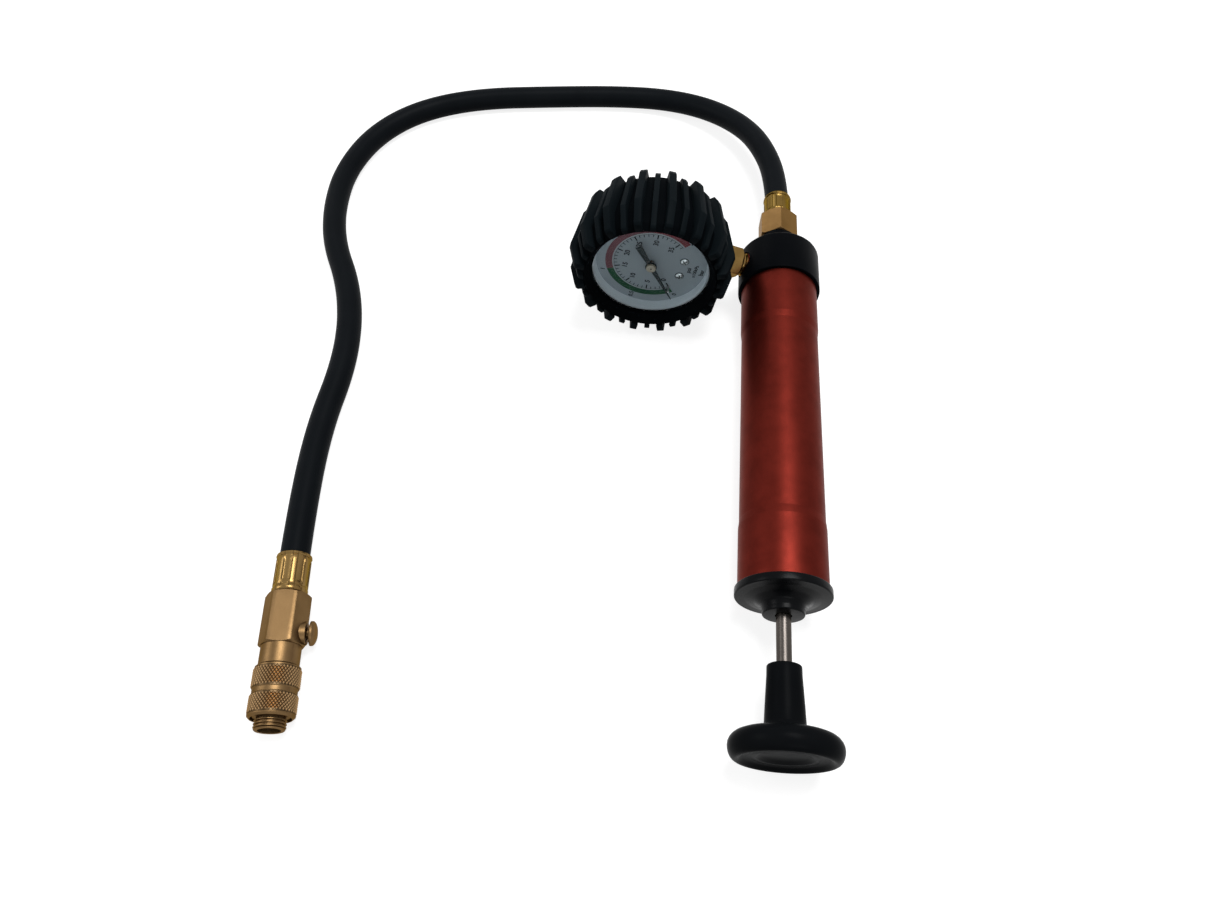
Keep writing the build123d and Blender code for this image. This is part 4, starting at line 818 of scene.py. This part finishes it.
dial = {"radius": 0.0280, "face": 0.0170, "thick": 0.0006, "hole": 0.0016, "turn": 6.0, "zero": -42.5,
        "sweep": 264.5, "fullPsi": 36.26, "fullBar": 2.5, "arcIn": 0.0197, "arcOut": 0.0231,
        "ringGap": 0.0001, "inkLow": 0.00001, "ink": 0.00004, "tickOut": 0.0188, "tickInk": 0.00005,
        "longTick": (0.0028, 0.00062), "shortTick": (0.0016, 0.00034), "ringLine": 0.00008,
        "psiNumbers": (0.0036, 0.0134), "barNumbers": (0.0031, 0.0252),   # size, reach
        "letterDepth": 0.00002, "letterLift": 0.00003, "letterWeight": 0.026,
        "units": {"psi": (0.0032, 0.0193), "x100kPa": (0.0025, 0.0226), "bar": (0.0032, 0.0259)}}
bm = ringBar(dial["face"] - dial["thick"], dial["face"], dial["hole"], dial["radius"], steps=128)
addPiece("dialPlate", bm, gaugePlace, "pump", dialFace, ["dial_plate"])


def arcBand(inner, outer, fromAngle, toAngle, top, steps=64):
    # a flat band of ink round part of the dial
    bm = bmesh.new()
    a = math.radians(fromAngle)
    low, high = dial["face"] + dial["inkLow"], dial["face"] + top
    corners = [bm.verts.new((radius * math.cos(a), radius * math.sin(a), height))
               for radius, height in ((inner, low), (outer, low), (outer, high), (inner, high))]
    edges = [bm.edges.new((corners[k], corners[(k + 1) % 4])) for k in range(4)]
    bmesh.ops.spin(bm, geom=corners + edges, cent=(0, 0, 0), axis=(0, 0, 1), dvec=(0, 0, 0),
                   angle=math.radians(toAngle - fromAngle), steps=steps, use_merge=False)
    bmesh.ops.holes_fill(bm, edges=[e for e in bm.edges if e.is_boundary], sides=4)
    return bm


def psiAngle(psi):
    return dial["zero"] - dial["sweep"] * psi / dial["fullPsi"]


def barAngle(bar):
    return dial["zero"] - dial["sweep"] * bar / dial["fullBar"]


for name, paint, low, high in (("greenBand", inkGreen, 0, 1), ("redBand", inkRed, 2, 2.5),
                               ("pinkBand", inkPink, 1, 2)):
    addPiece(name, arcBand(dial["arcIn"], dial["arcOut"], barAngle(high), barAngle(low), dial["ink"]),
             gaugePlace, "pump", paint)
addPiece("paleRing", arcBand(dial["tickOut"] + dial["ringGap"], dial["arcIn"] - dial["ringGap"],
                             barAngle(dial["fullBar"]), barAngle(0), dial["ink"]),
         gaugePlace, "pump", inkWhite)
ticks = []
for psi in range(math.ceil(dial["fullPsi"])):
    length, width = dial["shortTick"] if psi % 5 else dial["longTick"]
    ticks.append(block(Matrix.Rotation(math.radians(psiAngle(psi)), 4, "Z")
                       @ Matrix.Translation((dial["tickOut"] - length / 2, 0, dial["face"] + dial["ink"])),
                       (length, width, dial["tickInk"])))
ticks.append(arcBand(dial["tickOut"] - dial["ringLine"], dial["tickOut"] + dial["ringLine"],
                     psiAngle(dial["fullPsi"]), psiAngle(0), dial["tickInk"]))
addPiece("dialTicks", joined(*ticks), gaugePlace, "pump", inkBlackAndShade, flat=True)


def lettering(text, size, reach, angle):
    # text in the dial's own turn, its top away from the stem
    curve = bpy.data.curves.new("lettering", "FONT")
    curve.body = text
    curve.size = size
    curve.align_x = "CENTER"
    curve.align_y = "CENTER"
    curve.extrude = dial["letterDepth"]
    curve.offset = size * dial["letterWeight"]
    curve.resolution_u = 3
    holder = bpy.data.objects.new("lettering", curve)
    scene.collection.objects.link(holder)
    mesh = bpy.data.meshes.new_from_object(holder.evaluated_get(bpy.context.evaluated_depsgraph_get()))
    bpy.data.objects.remove(holder)
    bm = bmesh.new()
    bm.from_mesh(mesh)
    a = math.radians(angle)
    place = (Matrix.Translation((reach * math.cos(a), reach * math.sin(a), dial["face"] + dial["letterLift"]))
             @ Matrix.Rotation(math.radians(90 + dial["turn"]), 4, "Z"))
    bmesh.ops.transform(bm, matrix=place, verts=bm.verts)
    return bm


letters = [lettering(str(psi), *dial["psiNumbers"], psiAngle(psi)) for psi in range(0, 36, 5)]
letters += [lettering(f"{bar:g}", *dial["barNumbers"], barAngle(bar)) for bar in (0, 0.5, 1, 1.5, 2, 2.5)]
letters += [lettering(unit, *place, dial["turn"]) for unit, place in dial["units"].items()]
addPiece("dialNumbers", joined(*letters), gaugePlace, "pump", inkBlackAndShade, flat=True)

screw = {"ring": 0.0165, "angle": 18, "shank": 0.0008, "foot": 0.0134, "radius": 0.0020, "height": 0.0010,
         "shoulder": (0.0004, 0.00192), "brow": (0.0008, 0.0014), "shoulderRound": 0.0003,
         "slot": (0.0028, 0.00066), "turn": 30, "cut": (0.0009, 0.0009), "slotShade": (0.0006, 0.0003),
         "shadow": 0.0023, "shadowLow": 0.00002, "shadowHigh": 0.00008}


def atScrew(side):
    return (Matrix.Rotation(math.radians(dial["turn"] + side * screw["angle"]), 4, "Z")
            @ Matrix.Translation((screw["ring"], 0, dial["face"]))
            @ Matrix.Rotation(math.radians(screw["turn"]), 4, "Z"))


def slotCross(height, depth):
    return [block(Matrix.Rotation(turn, 4, "Z") @ Matrix.Translation((0, 0, height)), (*screw["slot"], depth))
            for turn in (0, math.pi / 2)]


def onScrews(*shapes):
    # puts copies of the shapes on both screws
    placed = []
    for side in (-1, 1):
        for shape in shapes:
            copy = shape.copy()
            bmesh.ops.transform(copy, matrix=atScrew(side), verts=copy.verts)
            placed.append(copy)
    return joined(*placed)


screwFoot = screw["foot"] - dial["face"]
head = turned([(screwFoot, 0), (screwFoot, screw["shank"]), (0, screw["shank"]), (0, screw["radius"]),
               screw["shoulder"], screw["brow"], (screw["height"], 0)], {4: screw["shoulderRound"]},
              steps=48)
screwPiece = addPiece("dialScrews", onScrews(head), gaugePlace, "pump", screwNickel, ["dial_screws"])
cutBy(screwPiece, [onScrews(bar) for bar in slotCross(*screw["cut"])], gaugePlace, 35)
# painted shadow: a black ring round each screw head; painted shade: black blocks at the bottoms of the slots
shadow = ringBar(screw["shadowLow"], screw["shadowHigh"], screw["radius"], screw["shadow"], steps=48)
addPiece("screwPaintedShade", onScrews(shadow, *slotCross(*screw["slotShade"])), gaugePlace, "pump", inkBlackAndShade,
         flat=True)

needle = {"low": 0.0198, "high": 0.0203, "rest": -46.5, "eye": 0.0029, "edge": 0.00007,
          # place and half width from the tail to the tip
          "outline": ((-0.0145, 0.00175), (-0.0030, 0.00105), (0.0030, 0.00120), (0.0150, 0.00065),
                      (0.0250, 0.00014))}
loop = [*needle["outline"], *((x, -y) for x, y in reversed(needle["outline"]))]
blade = slab([(x, y, needle["low"]) for x, y in loop], (0, 0, needle["high"] - needle["low"]),
             needle["edge"], 1, math.radians(needle["rest"]))
eye = ringBar(needle["low"], needle["high"], 0, needle["eye"], steps=48)
addPiece("needle", joined(blade, eye), gaugePlace, "needle", needleEnamel, ["needle"])

hub = {"radius": 0.0024, "topRadius": 0.0021, "foot": 0.0203, "edge": 0.0213, "top": 0.0215,
       "dot": 0.00045, "dotTop": (0.02165, 0.0004)}
cap = turned([(hub["foot"], 0), (hub["foot"], hub["radius"]), (hub["edge"], hub["radius"]),
              (hub["top"], hub["topRadius"]), (hub["top"], 0)], steps=48)
addPiece("needleHub", cap, gaugePlace, "needle", hubCream, ["needle_hub"])
dot = turned([(hub["edge"], 0), (hub["edge"], hub["dot"]), hub["dotTop"], (hub["dotTop"][0], 0)],
             steps=24)
addPiece("hubDot", dot, gaugePlace, "needle", inkBlackAndShade)

lens = {"foot": 0.0222, "radius": 0.02915, "rim": 0.0268, "step": (0.0237, 0.0258)}
bm = turned([(lens["foot"], 0), (lens["foot"], lens["radius"]), (case["front"], lens["radius"]),
             (case["front"], lens["rim"]), lens["step"], (lens["step"][0], 0)], steps=128)
addPiece("gaugeLens", bm, gaugePlace, "pump", clearWindow, ["gauge_lens"])
ring = {"footInside": 0.0278, "topInside": 0.0284}
bm = turned([(dial["face"], ring["footInside"]), (dial["face"], lens["radius"]),
             (lens["foot"], lens["radius"]), (lens["foot"], ring["topInside"])], steps=128)
addPiece("spacerRing", bm, gaugePlace, "pump", whiteRing, ["spacer_ring"])
print("gauge made")


# Floor, light and camera

camera = {"lens": 24.79, "sensor": 36, "near": 0.01, "place": (-0.0179, -0.2200, 0.3480),
          "heading": (-0.09506, 0.99547), "pitch": 59.10}
level, down = math.cos(math.radians(camera["pitch"])), math.sin(math.radians(camera["pitch"]))
look = Vector((camera["heading"][0] * level, camera["heading"][1] * level, -down))
eyeData = bpy.data.cameras.new("camera")
eyeData.lens = camera["lens"]
eyeData.sensor_width = camera["sensor"]
eyeData.clip_start = camera["near"]
eyeObject = bpy.data.objects.new("camera", eyeData)
eyeObject.location = camera["place"]
eyeObject.rotation_euler = look.to_track_quat("-Z", "Y").to_euler()
scene.collection.objects.link(eyeObject)
scene.camera = eyeObject

stage = {"floor": (0.35, 0.35, 0.35), "glow": 0.82, "world": 0.16, "size": 1.1}


def whiteRays(m):
    # 1 for the rays that show the background: the camera's, and those by gloss or through glass
    seen, gloss, glass = [m.node("LightPath", output=name)
                          for name in ("Is Camera Ray", "Is Glossy Ray", "Is Transmission Ray")]
    return m.maths("MAXIMUM", seen, m.maths("MAXIMUM", gloss, glass))


bm = bmesh.new()
bmesh.ops.create_grid(bm, x_segments=1, y_segments=1, size=stage["size"])
floorMesh = bpy.data.meshes.new("floor")
bm.to_mesh(floorMesh)
bm.free()
floorPiece = bpy.data.objects.new("floor", floorMesh)
scene.collection.objects.link(floorPiece)
m = Maker(bpy.data.materials.new("paleFloor"))
matt = m.node("BsdfDiffuse", None, {"Color": (*stage["floor"], 1)})
glow = m.node("Emission", None, {"Color": (1, 1, 1, 1), "Strength": stage["glow"]})
lit = m.node("AddShader", None, {0: matt, 1: glow})
floorMesh.materials.append(m.finish(m.node("MixShader", None, {0: whiteRays(m), 1: matt, 2: lit})))

m = Maker(bpy.data.worlds.new("studio"))
plain, white = [m.node("Background", None, {"Color": (1, 1, 1, 1), "Strength": strength})
                for strength in (stage["world"], 1)]
scene.world = m.finish(m.node("MixShader", None, {0: whiteRays(m), 1: plain, 2: white}), "OutputWorld")

lamps = {                                     # place, target, size and power
    "overhead": ((0.20, 0.28, 1.4), (0.02, 0.0, 0), (0.7, 0.6), 19),
    "side": ((-1.4, 0.0, 0.9), (0, 0.05, 0), (0.8, 0.6), 7),
    "front": ((0.4, -1.3, 0.9), (0, 0.05, 0), (0.8, 0.6), 4),
    "back": ((-0.9, 1.5, 0.9), (0, 0.05, 0), (0.6, 0.6), 1.7),
}
for name, (place, target, size, power) in lamps.items():
    lamp = bpy.data.lights.new(name, "AREA")
    lamp.shape = "RECTANGLE"
    lamp.size, lamp.size_y = size
    lamp.energy = power
    holder = bpy.data.objects.new(name, lamp)
    holder.location = place
    holder.rotation_euler = (Vector(target) - Vector(place)).to_track_quat("-Z", "Y").to_euler()
    scene.collection.objects.link(holder)
scene.view_settings.view_transform = "Standard"
print("stage made")
